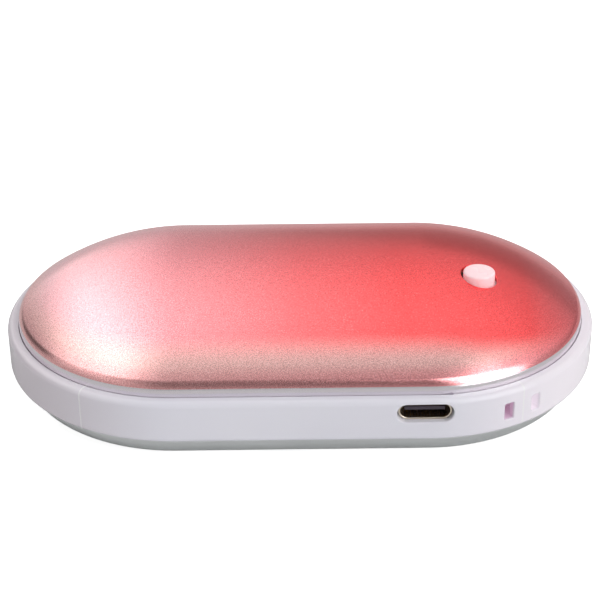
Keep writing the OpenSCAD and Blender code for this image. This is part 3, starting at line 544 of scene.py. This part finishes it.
def buttonPlastic():
    look = buttonLook
    material, tree, shader, place = newMaterial("buttonPlastic")
    skin = useGroup(tree, mouldedSkin, Vector=place, Drift_Size=0.002, Texture_Size=0.0002, Base_Roughness=0.28,
                    Roughness_Spread=0.08)
    # painted glow as emission over the whole cap
    feed(tree, shader, Base_Color=blendColour(tree, skin["Drift"], look["light"], look["deep"]),
         Roughness=skin["Roughness"], Emission_Color=look["buttonPaintedGlow"], Emission_Strength=look["buttonPaintedGlowPower"],
         Subsurface_Weight=0.7, Subsurface_Radius=(1.0, 0.6, 0.6), Subsurface_Scale=0.002,
         Normal=bump(tree, skin["Height"], 0.0000006))
    return material


def circuitMask():
    # green mask over a faint net of tracks
    material, tree, shader, place = newMaterial("circuitMask")
    cells = tree.nodes.new("ShaderNodeTexVoronoi")
    cells.distance = "CHEBYCHEV"
    cells.feature = "F1"
    feed(tree, cells, Vector=place, Scale=420.0, Randomness=0.55)
    tracks = spread(tree, cells.outputs["Distance"], 0.30, 0.36)
    skin = useGroup(tree, mouldedSkin, Vector=place, Drift_Size=0.01, Texture_Size=0.0003, Base_Roughness=0.3,
                    Roughness_Spread=0.1)
    base = blendColour(tree, skin["Drift"], (0.012, 0.13, 0.055), (0.02, 0.18, 0.075))
    feed(tree, shader, Base_Color=blendColour(tree, tracks, base, (0.045, 0.30, 0.13)), Roughness=skin["Roughness"],
         Normal=bump(tree, tracks, 0.00002))
    return material


def padFoam():
    material, tree, shader, place = newMaterial("padFoam")
    pores = feed(tree, tree.nodes.new("ShaderNodeTexVoronoi"), Vector=place, Scale=2200.0)
    # the pits of the bump are painted darker: painted shade in the pores
    poreDepthAndShade = spread(tree, pores.outputs["Distance"], 0.15, 0.6)
    feed(tree, shader, Base_Color=blendColour(tree, poreDepthAndShade, (0.015, 0.015, 0.017), (0.07, 0.07, 0.075)),
         Roughness=0.9, Normal=bump(tree, poreDepthAndShade, 0.0001))
    return material


materials = {
    "rose": roseAnodised(),
    "silver": silverAnodised(),
    "frame": framePlastic(),
    "button": buttonPlastic(),
    "socketSteel": plainMetal("socketSteel", (0.80, 0.72, 0.60), (0.66, 0.58, 0.47), 0.22),
    "socketTongue": plainPlastic("socketTongue", (0.075, 0.055, 0.08), (0.05, 0.038, 0.055), 0.35),
    "contactGold": plainMetal("contactGold", (0.90, 0.62, 0.24), (0.78, 0.50, 0.18), 0.2),
    "bondLine": plainPlastic("bondLine", (0.85, 0.82, 0.70), (0.80, 0.76, 0.62), 0.4),
    "heaterFilm": plainPlastic("heaterFilm", (0.60, 0.26, 0.03), (0.50, 0.20, 0.02), 0.18, depth=0.000002,
                               Coat_Weight=0.3),
    "heaterTrack": plainMetal("heaterTrack", (0.80, 0.46, 0.28), (0.62, 0.33, 0.20), 0.3, 0.0001, (1.0, 1.0, 1.0),
                              0.000001),
    "padFoam": padFoam(),
    "innerNylon": plainPlastic("innerNylon", (0.86, 0.86, 0.82), (0.78, 0.78, 0.74), 0.5, depth=0.00001,
                               Subsurface_Weight=0.1, Subsurface_Scale=0.001),
    "zincScrew": plainMetal("zincScrew", (0.72, 0.73, 0.76), (0.52, 0.54, 0.58), 0.28),
    "platedCan": plainMetal("platedCan", (0.78, 0.79, 0.80), (0.62, 0.63, 0.65), 0.18, stretch=(0.05, 1.0, 1.0)),
    "blueSleeve": plainPlastic("blueSleeve", (0.03, 0.16, 0.52), (0.02, 0.12, 0.42), 0.22, depth=0.000003),
    "pressedPaper": plainPlastic("pressedPaper", (0.82, 0.82, 0.76), (0.72, 0.72, 0.66), 0.8, texture=0.00012,
                                 depth=0.00002),
    "nickelStrip": plainMetal("nickelStrip", (0.80, 0.79, 0.75), (0.66, 0.65, 0.61), 0.24, stretch=(1.0, 0.05, 1.0)),
    "redJacket": plainPlastic("redJacket", (0.60, 0.02, 0.015), (0.48, 0.012, 0.01), 0.4),
    "blackJacket": plainPlastic("blackJacket", (0.018, 0.018, 0.02), (0.03, 0.03, 0.032), 0.42),
    "whiteJacket": plainPlastic("whiteJacket", (0.80, 0.80, 0.79), (0.72, 0.72, 0.71), 0.42),
    "board": circuitMask(),
    "switchBlack": plainPlastic("switchBlack", (0.022, 0.022, 0.024), (0.034, 0.034, 0.036), 0.5, depth=0.00001),
    "switchSteel": plainMetal("switchSteel", (0.76, 0.76, 0.75), (0.60, 0.60, 0.60), 0.26),
    "lampPhosphor": plainPlastic("lampPhosphor", (0.95, 0.86, 0.42), (0.92, 0.80, 0.32), 0.2,
                                 Subsurface_Weight=0.4, Subsurface_Scale=0.0005),
    "chipMould": plainPlastic("chipMould", (0.028, 0.028, 0.030), (0.045, 0.045, 0.047), 0.6, depth=0.000012),
    "ferrite": plainPlastic("ferrite", (0.10, 0.10, 0.11), (0.15, 0.15, 0.16), 0.7, texture=0.0002, depth=0.00002),
    "ceramic": plainPlastic("ceramic", (0.42, 0.28, 0.17), (0.34, 0.22, 0.13), 0.45),
    "resistorCoat": plainPlastic("resistorCoat", (0.02, 0.02, 0.022), (0.035, 0.035, 0.037), 0.3),
    "dippedBead": plainPlastic("dippedBead", (0.02, 0.02, 0.03), (0.04, 0.04, 0.05), 0.15, Coat_Weight=0.5),
}

finishNodes = {
    "bondLine": ("top_adhesive_ring", "bottom_adhesive_ring"),
    "heaterFilm": ("top_heater_film", "bottom_heater_film"),
    "heaterTrack": ("top_heater_track", "bottom_heater_track"),
    "padFoam": ("top_foam_pad", "bottom_foam_pad"),
    "innerNylon": ("cell_cradle", "cell_straps", "button_bracket"),
    "zincScrew": ("chassis_screws", "board_screws"),
    "platedCan": ("front_cell", "rear_cell"),
    "blueSleeve": ("front_cell_sleeve", "rear_cell_sleeve"),
    "pressedPaper": ("cell_insulator_rings",), "nickelStrip": ("positive_strip", "negative_strip"),
    "redJacket": ("positive_lead",), "blackJacket": ("negative_lead",), "board": ("circuit_board",),
    "socketTongue": ("usb_c_tongue",), "contactGold": ("usb_c_contacts",),
    "switchBlack": ("switch_base", "switch_plunger"),
    "switchSteel": ("switch_cover", "switch_dome", "switch_legs"), "lampPhosphor": ("status_leds",),
    "chipMould": ("control_chip", "charger_chip", "heater_mosfets"),
    "ferrite": ("power_inductor",), "ceramic": ("chip_capacitors",), "resistorCoat": ("chip_resistors",),
    "whiteJacket": ("top_heater_leads", "bottom_heater_leads"),
    "dippedBead": ("top_thermistor", "bottom_thermistor"),
}
for finish, names in finishNodes.items():
    for name in names:
        for holder in nodes[name].material_slots:
            holder.material = materials[finish]
print("materials ready:", len(materials))


def crownAngle(shape):
    corner = shape["corner"]
    return 90 - 2 * math.degrees(math.atan((shape["rise"] - shape["lip"] - corner) / (shellReach - corner)))


def crownRadius(shape):
    corner = shape["corner"]
    return corner + (shellReach - corner) / math.cos(math.radians(crownAngle(shape)))


topShape = {"corner": 2.5, "lip": 0.6, "seat": 0.6, "rise": 11.6, "holeRadius": 3.15, "holeRound": 0.16}


def domeProfile(shape, base, inside, steps):
    # from the lower edge of the lip over the corner to the crown's middle
    angle, big = crownAngle(shape), crownRadius(shape)
    reach = shellReach - inside
    corner = arcPoints(shellReach - shape["corner"], base + shape["lip"], shape["corner"] - inside, 0, angle, steps)
    crown = arcPoints(0, base + shape["rise"] - big, big - inside, angle, 90, steps * 2)
    edge = [(reach, base - shape["seat"])]
    return edge + spreadLine(edge[0], corner[0], 4) + corner + crown[1:]


def crownHeight(shape, base, x, y):
    big = crownRadius(shape)
    past = max(abs(x) - halfSpine, 0)
    return base + shape["rise"] - big + math.sqrt(big * big - past * past - y * y)


buttonX = (capLow.x + capHigh.x) / 2
buttonY = (capLow.y + capHigh.y) / 2

outer = domeProfile(topShape, topBase, 0, 36)
inner = domeProfile(topShape, topBase, shellWall, 14)
outer[-1] = (0, outer[-1][1])
inner[-1] = (0, inner[-1][1])
topShell = carryProfile("topShell", outer[::-1] + inner, halfSpine, materials["rose"], 160, 48)


def circle(x, y, radius, steps):
    turns = [2 * math.pi * k / steps for k in range(steps)]
    return [(x + radius * math.cos(a), y + radius * math.sin(a)) for a in turns]


def flare(radius):
    # growth and depth of a rounded mouth, from inside to outside
    turns = [math.radians(a) for a in range(15, 91, 15)]
    return [(0.0, radius)] + [(radius * (1 - math.cos(a)), radius * (1 - math.sin(a))) for a in turns]


def holeCutter():
    shape = topShape
    radius, edge = shape["holeRadius"], shape["holeRound"]
    stack = [(radius, -4.0)] + [(radius + grow, -depth) for grow, depth in flare(edge)]
    stack += [(radius + edge + 0.3, 0.35), (radius + edge + 0.3, 2.5)]
    return ringStack("holeCutter", [[mm(x, y, crownHeight(shape, topBase, x, y) + lift)
                                     for x, y in circle(buttonX, buttonY, r, 128)] for r, lift in stack])


cutOrJoin(topShell, holeCutter(), "DIFFERENCE")
cleanSurface(topShell, 38)
print("top shell made:", len(topShell.data.polygons), "faces")

baseShape = {"corner": 4.0, "lip": 0.6, "seat": 0.6, "footCut": 2.0}
baseShape["rise"] = frameLow.z + baseShape["footCut"]


def baseProfile(inside, steps):
    # a dome upside down, cut off flat for the foot
    points = []
    for w, z in domeProfile(baseShape, 0, inside, steps):
        height = frameLow.z - z
        if height < inside:
            wide, before = points[-1]
            share = (before - inside) / (before - height)
            points.append((wide + (w - wide) * share, inside))
            break
        points.append((w, height))
    return points + spreadLine(points[-1], (0, inside), 12) + [(0, inside)]


outer, inner = baseProfile(0, 30), baseProfile(shellWall, 12)
bottomShell = carryProfile("bottomShell", outer[::-1] + inner, halfSpine, materials["silver"], 128, 40)
print("bottom shell made:", len(bottomShell.data.polygons), "faces")

frameShape = {"rim": 1.94, "edge": 1.0, "shelf": 1.06, "seat": 0.6, "bond": 0.1, "innerRound": 0.1}
rimInner = halfWidth - frameShape["rim"]
shelfInner = rimInner - frameShape["shelf"]
shelfLow = frameLow.z + frameShape["seat"] + frameShape["bond"]


def frameProfile():
    shape = frameShape
    low, high, reach = frameLow.z, frameHigh.z, halfWidth
    edge, small = shape["edge"], shape["innerRound"]
    shelfTop = high - shape["seat"] - shape["bond"]
    points = arcPoints(reach - edge, high - edge, edge, 0, 90, 16)
    points += spreadLine(points[-1], (rimInner + small, high), 3)
    points += arcPoints(rimInner + small, high - small, small, 90, 180, 6)
    points += [(rimInner, shelfTop), (shelfInner, shelfTop), (shelfInner, shelfLow), (rimInner, shelfLow)]
    points += arcPoints(rimInner + small, low + small, small, 180, 270, 6)
    points += spreadLine(points[-1], (reach - edge, low), 3)
    points += arcPoints(reach - edge, low + edge, edge, 270, 360, 16)
    points += spreadLine(points[-1], (reach, high - edge), 16)
    return points + [points[0]]


midFrame = carryProfile("midFrame", frameProfile(), halfSpine, materials["frame"], 160, 64)

eyeShape = {"angle": 30.6, "post": 3.7, "window": 1.8, "tall": 3.1, "height": 3.7, "postThick": 1.2,
            "passage": 2.2, "wall": 1.0, "round": 0.22, "corner": 0.3}
eyeZ = frameLow.z + eyeShape["height"]
passageOuter = halfWidth - eyeShape["postThick"]


def arcDegrees(length):
    return math.degrees(length / halfWidth)


def endPoint(angle, radius, z):
    turn = math.radians(angle)
    return mm(halfSpine + radius * math.sin(turn), -radius * math.cos(turn), z)


def endBlock(name, angle, halfAngle, inner, outer, z, tall, steps=12):
    rings = []
    for k in range(steps + 1):
        a = angle - halfAngle + 2 * halfAngle * k / steps
        rings.append([endPoint(a, r, h) for r, h in ((inner, z - tall / 2), (outer, z - tall / 2),
                                                     (outer, z + tall / 2), (inner, z + tall / 2))])
    return ringStack(name, rings)


def roundedOutline(wide, tall, corner, grow, steps=6):
    # outline of a rounded rectangle about its middle, grown by an amount
    points = []
    corner = corner + grow
    for cx, cz, start in ((1, 1, 0), (-1, 1, 90), (-1, -1, 180), (1, -1, 270)):
        for k in range(steps + 1):
            a = math.radians(start + 90 * k / steps)
            points.append((cx * (wide / 2 + grow - corner) + corner * math.cos(a),
                           cz * (tall / 2 + grow - corner) + corner * math.sin(a)))
    return points


def windowCutter(angle):
    shape = eyeShape
    stack = [(0.0, shape["postThick"] + shape["passage"] / 2)] + flare(shape["round"])
    stack.append((shape["round"] + 0.3, -0.4))
    return ringStack("windowCutter", [[
        endPoint(angle + arcDegrees(u), halfWidth - depth, eyeZ + v)
        for u, v in roundedOutline(shape["window"], shape["tall"], shape["corner"], grow)] for grow, depth in stack])


bossShape = {"radius": 2.3, "tall": 3.0, "rib": 1.2, "pilot": 0.85, "ear": 1.2, "head": 1.9}


def block(name, lowX, highX, lowY, highY, lowZ, highZ):
    base = ((lowX, lowY), (highX, lowY), (highX, highY), (lowX, highY))
    return ringStack(name, [[mm(x, y, z) for x, y in base] for z in (lowZ, highZ)])


def frameBosses():
    # screw bosses inside the frame, with their ribs
    shape, made = bossShape, []
    strapLow, _ = boxMm("cell_straps")
    screwLow, screwHigh = boxMm("chassis_screws")
    top = strapLow.z - shape["ear"]
    reach = screwHigh.y - shape["head"]

    def post(name, x, y, radius, low, high):
        return ringStack(name, [[mm(u, v, z) for u, v in circle(x, y, radius, 48)] for z in (low, high)])

    for x in (screwLow.x + shape["head"], screwHigh.x - shape["head"]):
        for side in (-1, 1):
            near, far = sorted((side * reach, side * (shelfInner + frameShape["shelf"] / 2)))
            made += [post("boss", x, side * reach, shape["radius"], top - shape["tall"], top),
                     block("rib", x - shape["rib"], x + shape["rib"], near, far, shelfLow, top),
                     post("pilot", x, side * reach, shape["pilot"], top - shape["tall"] - 1, top + 1)]
    return made


windowEnd = eyeShape["post"] / 2 + eyeShape["window"]
cutOrJoin(midFrame, endBlock("eyeHousing", eyeShape["angle"], arcDegrees(windowEnd + eyeShape["wall"]),
                             passageOuter - eyeShape["passage"] - eyeShape["wall"],
                             shelfInner + frameShape["shelf"] / 2, eyeZ,
                             eyeShape["tall"] + 2 * eyeShape["wall"]), "UNION")
for piece in frameBosses():
    cutOrJoin(midFrame, piece, "DIFFERENCE" if piece.name.startswith("pilot") else "UNION")
cutOrJoin(midFrame, endBlock("eyePassage", eyeShape["angle"], arcDegrees(windowEnd),
                             passageOuter - eyeShape["passage"], passageOuter, eyeZ, eyeShape["tall"]), "DIFFERENCE")
for side in (-1, 1):
    angle = eyeShape["angle"] + side * arcDegrees((eyeShape["post"] + eyeShape["window"]) / 2)
    cutOrJoin(midFrame, windowCutter(angle), "DIFFERENCE")

slotShape = {"room": 0.22, "roomTall": 0.11, "round": 0.25, "notchDeep": 2, "notchTall": 8}
portX = (socketLow.x + socketHigh.x) / 2
socketWide, socketTall = socketHigh.x - socketLow.x, 3.26
portZ = socketHigh.z - socketTall / 2


def wallSag(x):
    past = max(x - halfSpine, 0)
    return halfWidth - math.sqrt(halfWidth * halfWidth - past * past)


mouldShape = {"angle": 30.6, "halfWidth": 0.09, "depth": 0.05, "inset": 0.35}


def mouldLine(side):
    # cutter for the fine parting line over the rim, down the wall and under it
    shape, edge = mouldShape, frameShape["edge"]
    low, high, inner = frameLow.z, topBase, rimInner + shape["inset"]
    stations = [(inner, high, 90)]
    for z, first in ((high - edge, 90), (low + edge, 0)):
        corner = arcPoints(halfWidth - edge, z, edge, first, first - 90, 12)
        stations += [(*spot, a) for spot, a in zip(corner, range(first, first - 91, -7))]
    stations.append((inner, low, -90))
    turn = math.radians(shape["angle"])
    rings = []
    for w, z, tilt in stations:
        ring = []
        for slide, lift in ((-1, 0.4), (0, -1), (1, 0.4)):
            reach = w + lift * shape["depth"] * math.cos(math.radians(tilt))
            drop = z + lift * shape["depth"] * math.sin(math.radians(tilt))
            x = reach * math.sin(turn) + slide * shape["halfWidth"] * math.cos(turn)
            y = -reach * math.cos(turn) + slide * shape["halfWidth"] * math.sin(turn)
            ring.append(mm(side * (halfSpine + x), y, drop))
        rings.append(ring)
    return ringStack("mouldLine", rings)


def slotCutter():
    shape = slotShape
    wide, tall = socketWide + 2 * shape["room"], socketTall + shape["roomTall"]
    rings = []
    for grow, depth in [(0.0, 5.0)] + flare(shape["round"]) + [(shape["round"] + 0.3, -0.5)]:
        outline = roundedOutline(wide, tall, tall / 2 - 0.001, grow, 14)
        rings.append([mm(portX + u, -halfWidth + depth + (wallSag(portX + u) if depth < 2 else 0), portZ + v)
                      for u, v in outline])
    return ringStack("slotCutter", rings)


cutOrJoin(midFrame, slotCutter(), "DIFFERENCE")
for side in (-1, 1):
    cutOrJoin(midFrame, mouldLine(side), "DIFFERENCE")
notch = (socketWide + 2 * slotShape["room"]) / 2
cutOrJoin(midFrame, block("notchBlock", portX - notch, portX + notch, -rimInner, slotShape["notchDeep"] - rimInner,
                          portZ, portZ + slotShape["notchTall"]), "DIFFERENCE")
cleanSurface(midFrame, 32)
print("mid frame made:", len(midFrame.data.polygons), "faces")

capShape = {"radius": 2.75, "edge": 0.4, "flangeRadius": 3.95, "flangeThick": 0.7, "stemRadius": 1.5}


def turned(name, profile, x, y, finish, steps=96):
    # a turned piece about an upright axis; profile is (radius, height) from axis to axis
    points, faces = [mm(u, v, z) for radius, z in profile for u, v in circle(x, y, radius, steps)], []
    for r in range(len(profile) - 1):
        for k in range(steps):
            a, b = r * steps + k, r * steps + (k + 1) % steps
            faces.append((a, b, b + steps, a + steps))
    thing = objectFrom(name, meshFrom(name, points, faces))
    thing.data.materials.append(finish)
    return cleanSurface(thing, 40)


def buttonProfile():
    # the flange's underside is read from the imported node, where it is wider than the cap
    shape, top, base = capShape, capHigh.z, capLow.z
    spots = [[value / millimetre for value in vertex.co] for vertex in nodes["button_cap"].data.vertices]
    flangeBase = min(z for x, y, z in spots if math.hypot(x - buttonX, y - buttonY) > shape["radius"] + 0.5)
    flangeTop = flangeBase + shape["flangeThick"]
    points = [(0, base), (shape["stemRadius"], base), (shape["stemRadius"], flangeBase),
              (shape["flangeRadius"], flangeBase), (shape["flangeRadius"], flangeTop), (shape["radius"], flangeTop)]
    points += arcPoints(shape["radius"] - shape["edge"], top - shape["edge"], shape["edge"], 0, 90, 12)
    points += [((shape["radius"] - shape["edge"]) * k / 8, top) for k in range(7, -1, -1)]
    return points


buttonCap = turned("buttonCap", buttonProfile(), buttonX, buttonY, materials["button"])
print("button made")

socketShape = {"wide": 8.94, "tall": socketTall, "depth": 7.35, "wall": 0.35, "roll": 0.13,
               "legs": (3.5, 6.4), "legWide": 0.3, "legDeep": 1.0}


def socketShell():
    shape = socketShape
    radius, half, roll = shape["tall"] / 2, (shape["wide"] - shape["tall"]) / 2, shape["roll"]
    mouth = radius - shape["wall"]
    profile = arcPoints(radius - roll, roll, roll, 0, -90, 6)
    profile += arcPoints(mouth + roll, roll, roll, -90, -180, 6)
    profile += [(mouth, shape["depth"]), (radius, shape["depth"]), profile[0]]
    thing = carryProfile("socketShell", profile, half, materials["socketSteel"], 40, 12, 40)
    # the path lies flat: stand it up so that its depth runs into the frame
    front = socketLow.y
    stand = Matrix.Translation(mm(portX, front, portZ)) @ Matrix.Rotation(math.radians(-90), 4, "X")
    thing.data.transform(stand)
    for side in (-1, 1):
        for y in shape["legs"]:
            wide, deep = shape["legWide"], shape["legDeep"]
            x = portX + side * (shape["wide"] - wide) / 2
            cutOrJoin(thing, block("leg", x - wide / 2, x + wide / 2, front + y - deep / 2, front + y + deep / 2,
                                   socketLow.z, portZ), "UNION")
    return cleanSurface(thing, 40)


socketBody = socketShell()
print("socket made")

# each piece rides on its body
for piece, body, node, slot in (
        (topShell, "housing", "top_shell", "rose_shell"),
        (bottomShell, "housing", "bottom_shell", "silver_shell"),
        (midFrame, "housing", "mid_frame", "frame_plastic"),
        (buttonCap, "power_button", "button_cap", "button_plastic"),
        (socketBody, "housing", "usb_c_shell", "socket_metal")):
    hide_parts(node)
    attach(piece, body)

studio = {
    "floorSize": 2.4, "floorGap": 0.00002,
    "floorColour": (0.93, 0.93, 0.93),
    "floorLift": 0.80,
    "floorMirrored": 0.80,
    # share of the sky's light that falls on dull surfaces
    "dullShare": 0.52,
    # sky: radiance low down and high up, and the elevations between them
    "low": 0.62, "high": 1.62, "rise": (-0.7, 80),
    # soft-edged boxes in the sky: azimuth (0 is the camera's side and positive is to its right), elevation, turn,
    # length, width and soft edge as shares of the distance, radiance, and whether it adds to what is behind it
    "boxes": ((11.9, 49.5, -5.7, 0.71, 0.71, 0.53, 0.244, False),
              (-136.0, 10.2, -33.1, 0.271, 0.753, 0.21, 0.1, False),
              (137, -4.8, -20.8, 0.342, 0.95, 0.08, 0.46, False),
              (-140.2, 37.2, 30.8, 1.2, 0.15, 0.40, 1.7, True),
              (47.5, 19.3, 2.7, 1.087, 0.417, 0.061, 3.7, True)),
}


def forCamera(tree, others, seen, finish):
    # rays from the camera take the second shader, all others the first
    mix = tree.nodes.new("ShaderNodeMixShader")
    path = tree.nodes.new("ShaderNodeLightPath").outputs
    for socket, source in zip(mix.inputs, (path["Is Camera Ray"], others.outputs[0], seen.outputs[0])):
        tree.links.new(source, socket)
    tree.links.new(mix.outputs[0], tree.nodes.new(finish).inputs["Surface"])


def floorMaterial():
    material = bpy.data.materials.new("paleFloor")
    material.use_nodes = True
    tree = material.node_tree
    tree.nodes.clear()
    seen = feed(tree, tree.nodes.new("ShaderNodeBsdfDiffuse"), Color=studio["floorColour"])
    lift = feed(tree, tree.nodes.new("ShaderNodeEmission"), Strength=studio["floorLift"])
    both = tree.nodes.new("ShaderNodeAddShader")
    for socket, source in zip(both.inputs, (seen, lift)):
        tree.links.new(source.outputs[0], socket)
    mirrored = feed(tree, tree.nodes.new("ShaderNodeBsdfDiffuse"), Color=(studio["floorMirrored"],) * 3)
    forCamera(tree, mirrored, both, "ShaderNodeOutputMaterial")
    return material


half = studio["floorSize"] / 2
level = cadBounds[0][2] - studio["floorGap"]
corners = [(x * half, y * half, level) for x, y in ((-1, -1), (1, -1), (1, 1), (-1, 1))]
floor = objectFrom("floor", meshFrom("floor", corners, [(0, 1, 2, 3)]))
floor.data.materials.append(floorMaterial())


def skyBoxGroup():
    # share of a soft-edged box in a direction; Along and Across are its axes, square to Aim
    tree, start, end = shaderGroup("skyBox", {"Direction": None, "Aim": (0.0, -1.0, 0.0), "Along": (0.0, 0.0, 1.0),
                                              "Across": (1.0, 0.0, 0.0), "Length": 0.5, "Width": 0.5, "Soft": 0.2},
                                   ("Share",))
    least = 0.05
    facing = vectorMath(tree, "DOT_PRODUCT", start["Direction"], start["Aim"])
    ahead = nodeMath(tree, "MAXIMUM", facing, least)
    share = above(tree, facing, least)
    for axis, size in (("Along", "Length"), ("Across", "Width")):
        slant = vectorMath(tree, "DOT_PRODUCT", start["Direction"], start[axis])
        off = nodeMath(tree, "ABSOLUTE", nodeMath(tree, "DIVIDE", slant, ahead))
        edges = plus(tree, start[size], start["Soft"]), minus(tree, start[size], start["Soft"])
        share = times(tree, share, spread(tree, off, *edges, kind="SMOOTHSTEP"))
    feed(tree, end, Share=share)
    return tree


def boxAxes(azimuth, elevation, turn):
    side, up, turn = (math.radians(angle) for angle in (azimuth, elevation, turn))
    aim = Vector((math.cos(up) * math.sin(side), -math.cos(up) * math.cos(side), math.sin(up)))
    right = Vector((0, 0, 1)).cross(aim).normalized()
    tall = aim.cross(right)
    along = tall * math.cos(turn) + right * math.sin(turn)
    return aim, along, aim.cross(along)


def makeSky():
    world = bpy.data.worlds.new("studioSky")
    scene.world = world
    world.use_nodes = True
    tree = world.node_tree
    tree.nodes.clear()
    direction = tree.nodes.new("ShaderNodeTexCoord").outputs["Generated"]
    elevation = nodeMath(tree, "DEGREES", nodeMath(tree, "ARCSINE", splitAxes(tree, direction)[2]))
    strength = spread(tree, elevation, *studio["rise"], studio["low"], studio["high"], "SMOOTHSTEP")
    group = skyBoxGroup()
    for *angles, length, width, soft, radiance, adds in studio["boxes"]:
        aim, along, across = boxAxes(*angles)
        share = useGroup(tree, group, Direction=direction, Aim=aim, Along=along, Across=across, Length=length,
                         Width=width, Soft=soft)[0]
        if adds:
            strength = plus(tree, strength, times(tree, share, radiance))
        else:
            strength = spread(tree, share, 0.0, 1.0, strength, radiance)
    dull = tree.nodes.new("ShaderNodeLightPath").outputs["Is Diffuse Ray"]
    strength = times(tree, strength, spread(tree, dull, 0.0, 1.0, 1.0, studio["dullShare"]))
    light = feed(tree, tree.nodes.new("ShaderNodeBackground"), Strength=strength)
    seen = feed(tree, tree.nodes.new("ShaderNodeBackground"), Color=(1.0, 1.0, 1.0))
    forCamera(tree, light, seen, "ShaderNodeOutputWorld")


makeSky()

shot = {"distance": 299.3, "aimHeight": 18.4, "pitch": 28.73, "drop": 0.338, "heading": 0.352, "roll": -0.472,
        "lens": 100.65}


def makeCamera():
    camera = bpy.data.objects.new("camera", bpy.data.cameras.new("camera"))
    camera.data.lens = shot["lens"]
    camera.data.sensor_width = 36
    camera.data.clip_start = 0.01
    camera.data.clip_end = 20
    pitch, look = math.radians(shot["pitch"]), math.radians(shot["pitch"] + shot["drop"])
    turn = Matrix.Rotation(math.radians(-shot["heading"]), 3, "Z")
    place = turn @ mm(0, -shot["distance"] * math.cos(pitch), shot["aimHeight"] + shot["distance"] * math.sin(pitch))
    ahead = turn @ Vector((0, math.cos(look), -math.sin(look)))
    right0 = turn @ Vector((1, 0, 0))
    up0 = right0.cross(ahead)
    roll = math.radians(shot["roll"])
    right = right0 * math.cos(roll) + up0 * math.sin(roll)
    up = up0 * math.cos(roll) - right0 * math.sin(roll)
    axes = Matrix((right, up, -ahead)).transposed().to_4x4()
    camera.matrix_world = Matrix.Translation(place) @ axes
    scene.collection.objects.link(camera)
    scene.camera = camera


makeCamera()
scene.view_settings.view_transform = "Standard"
print("studio ready")
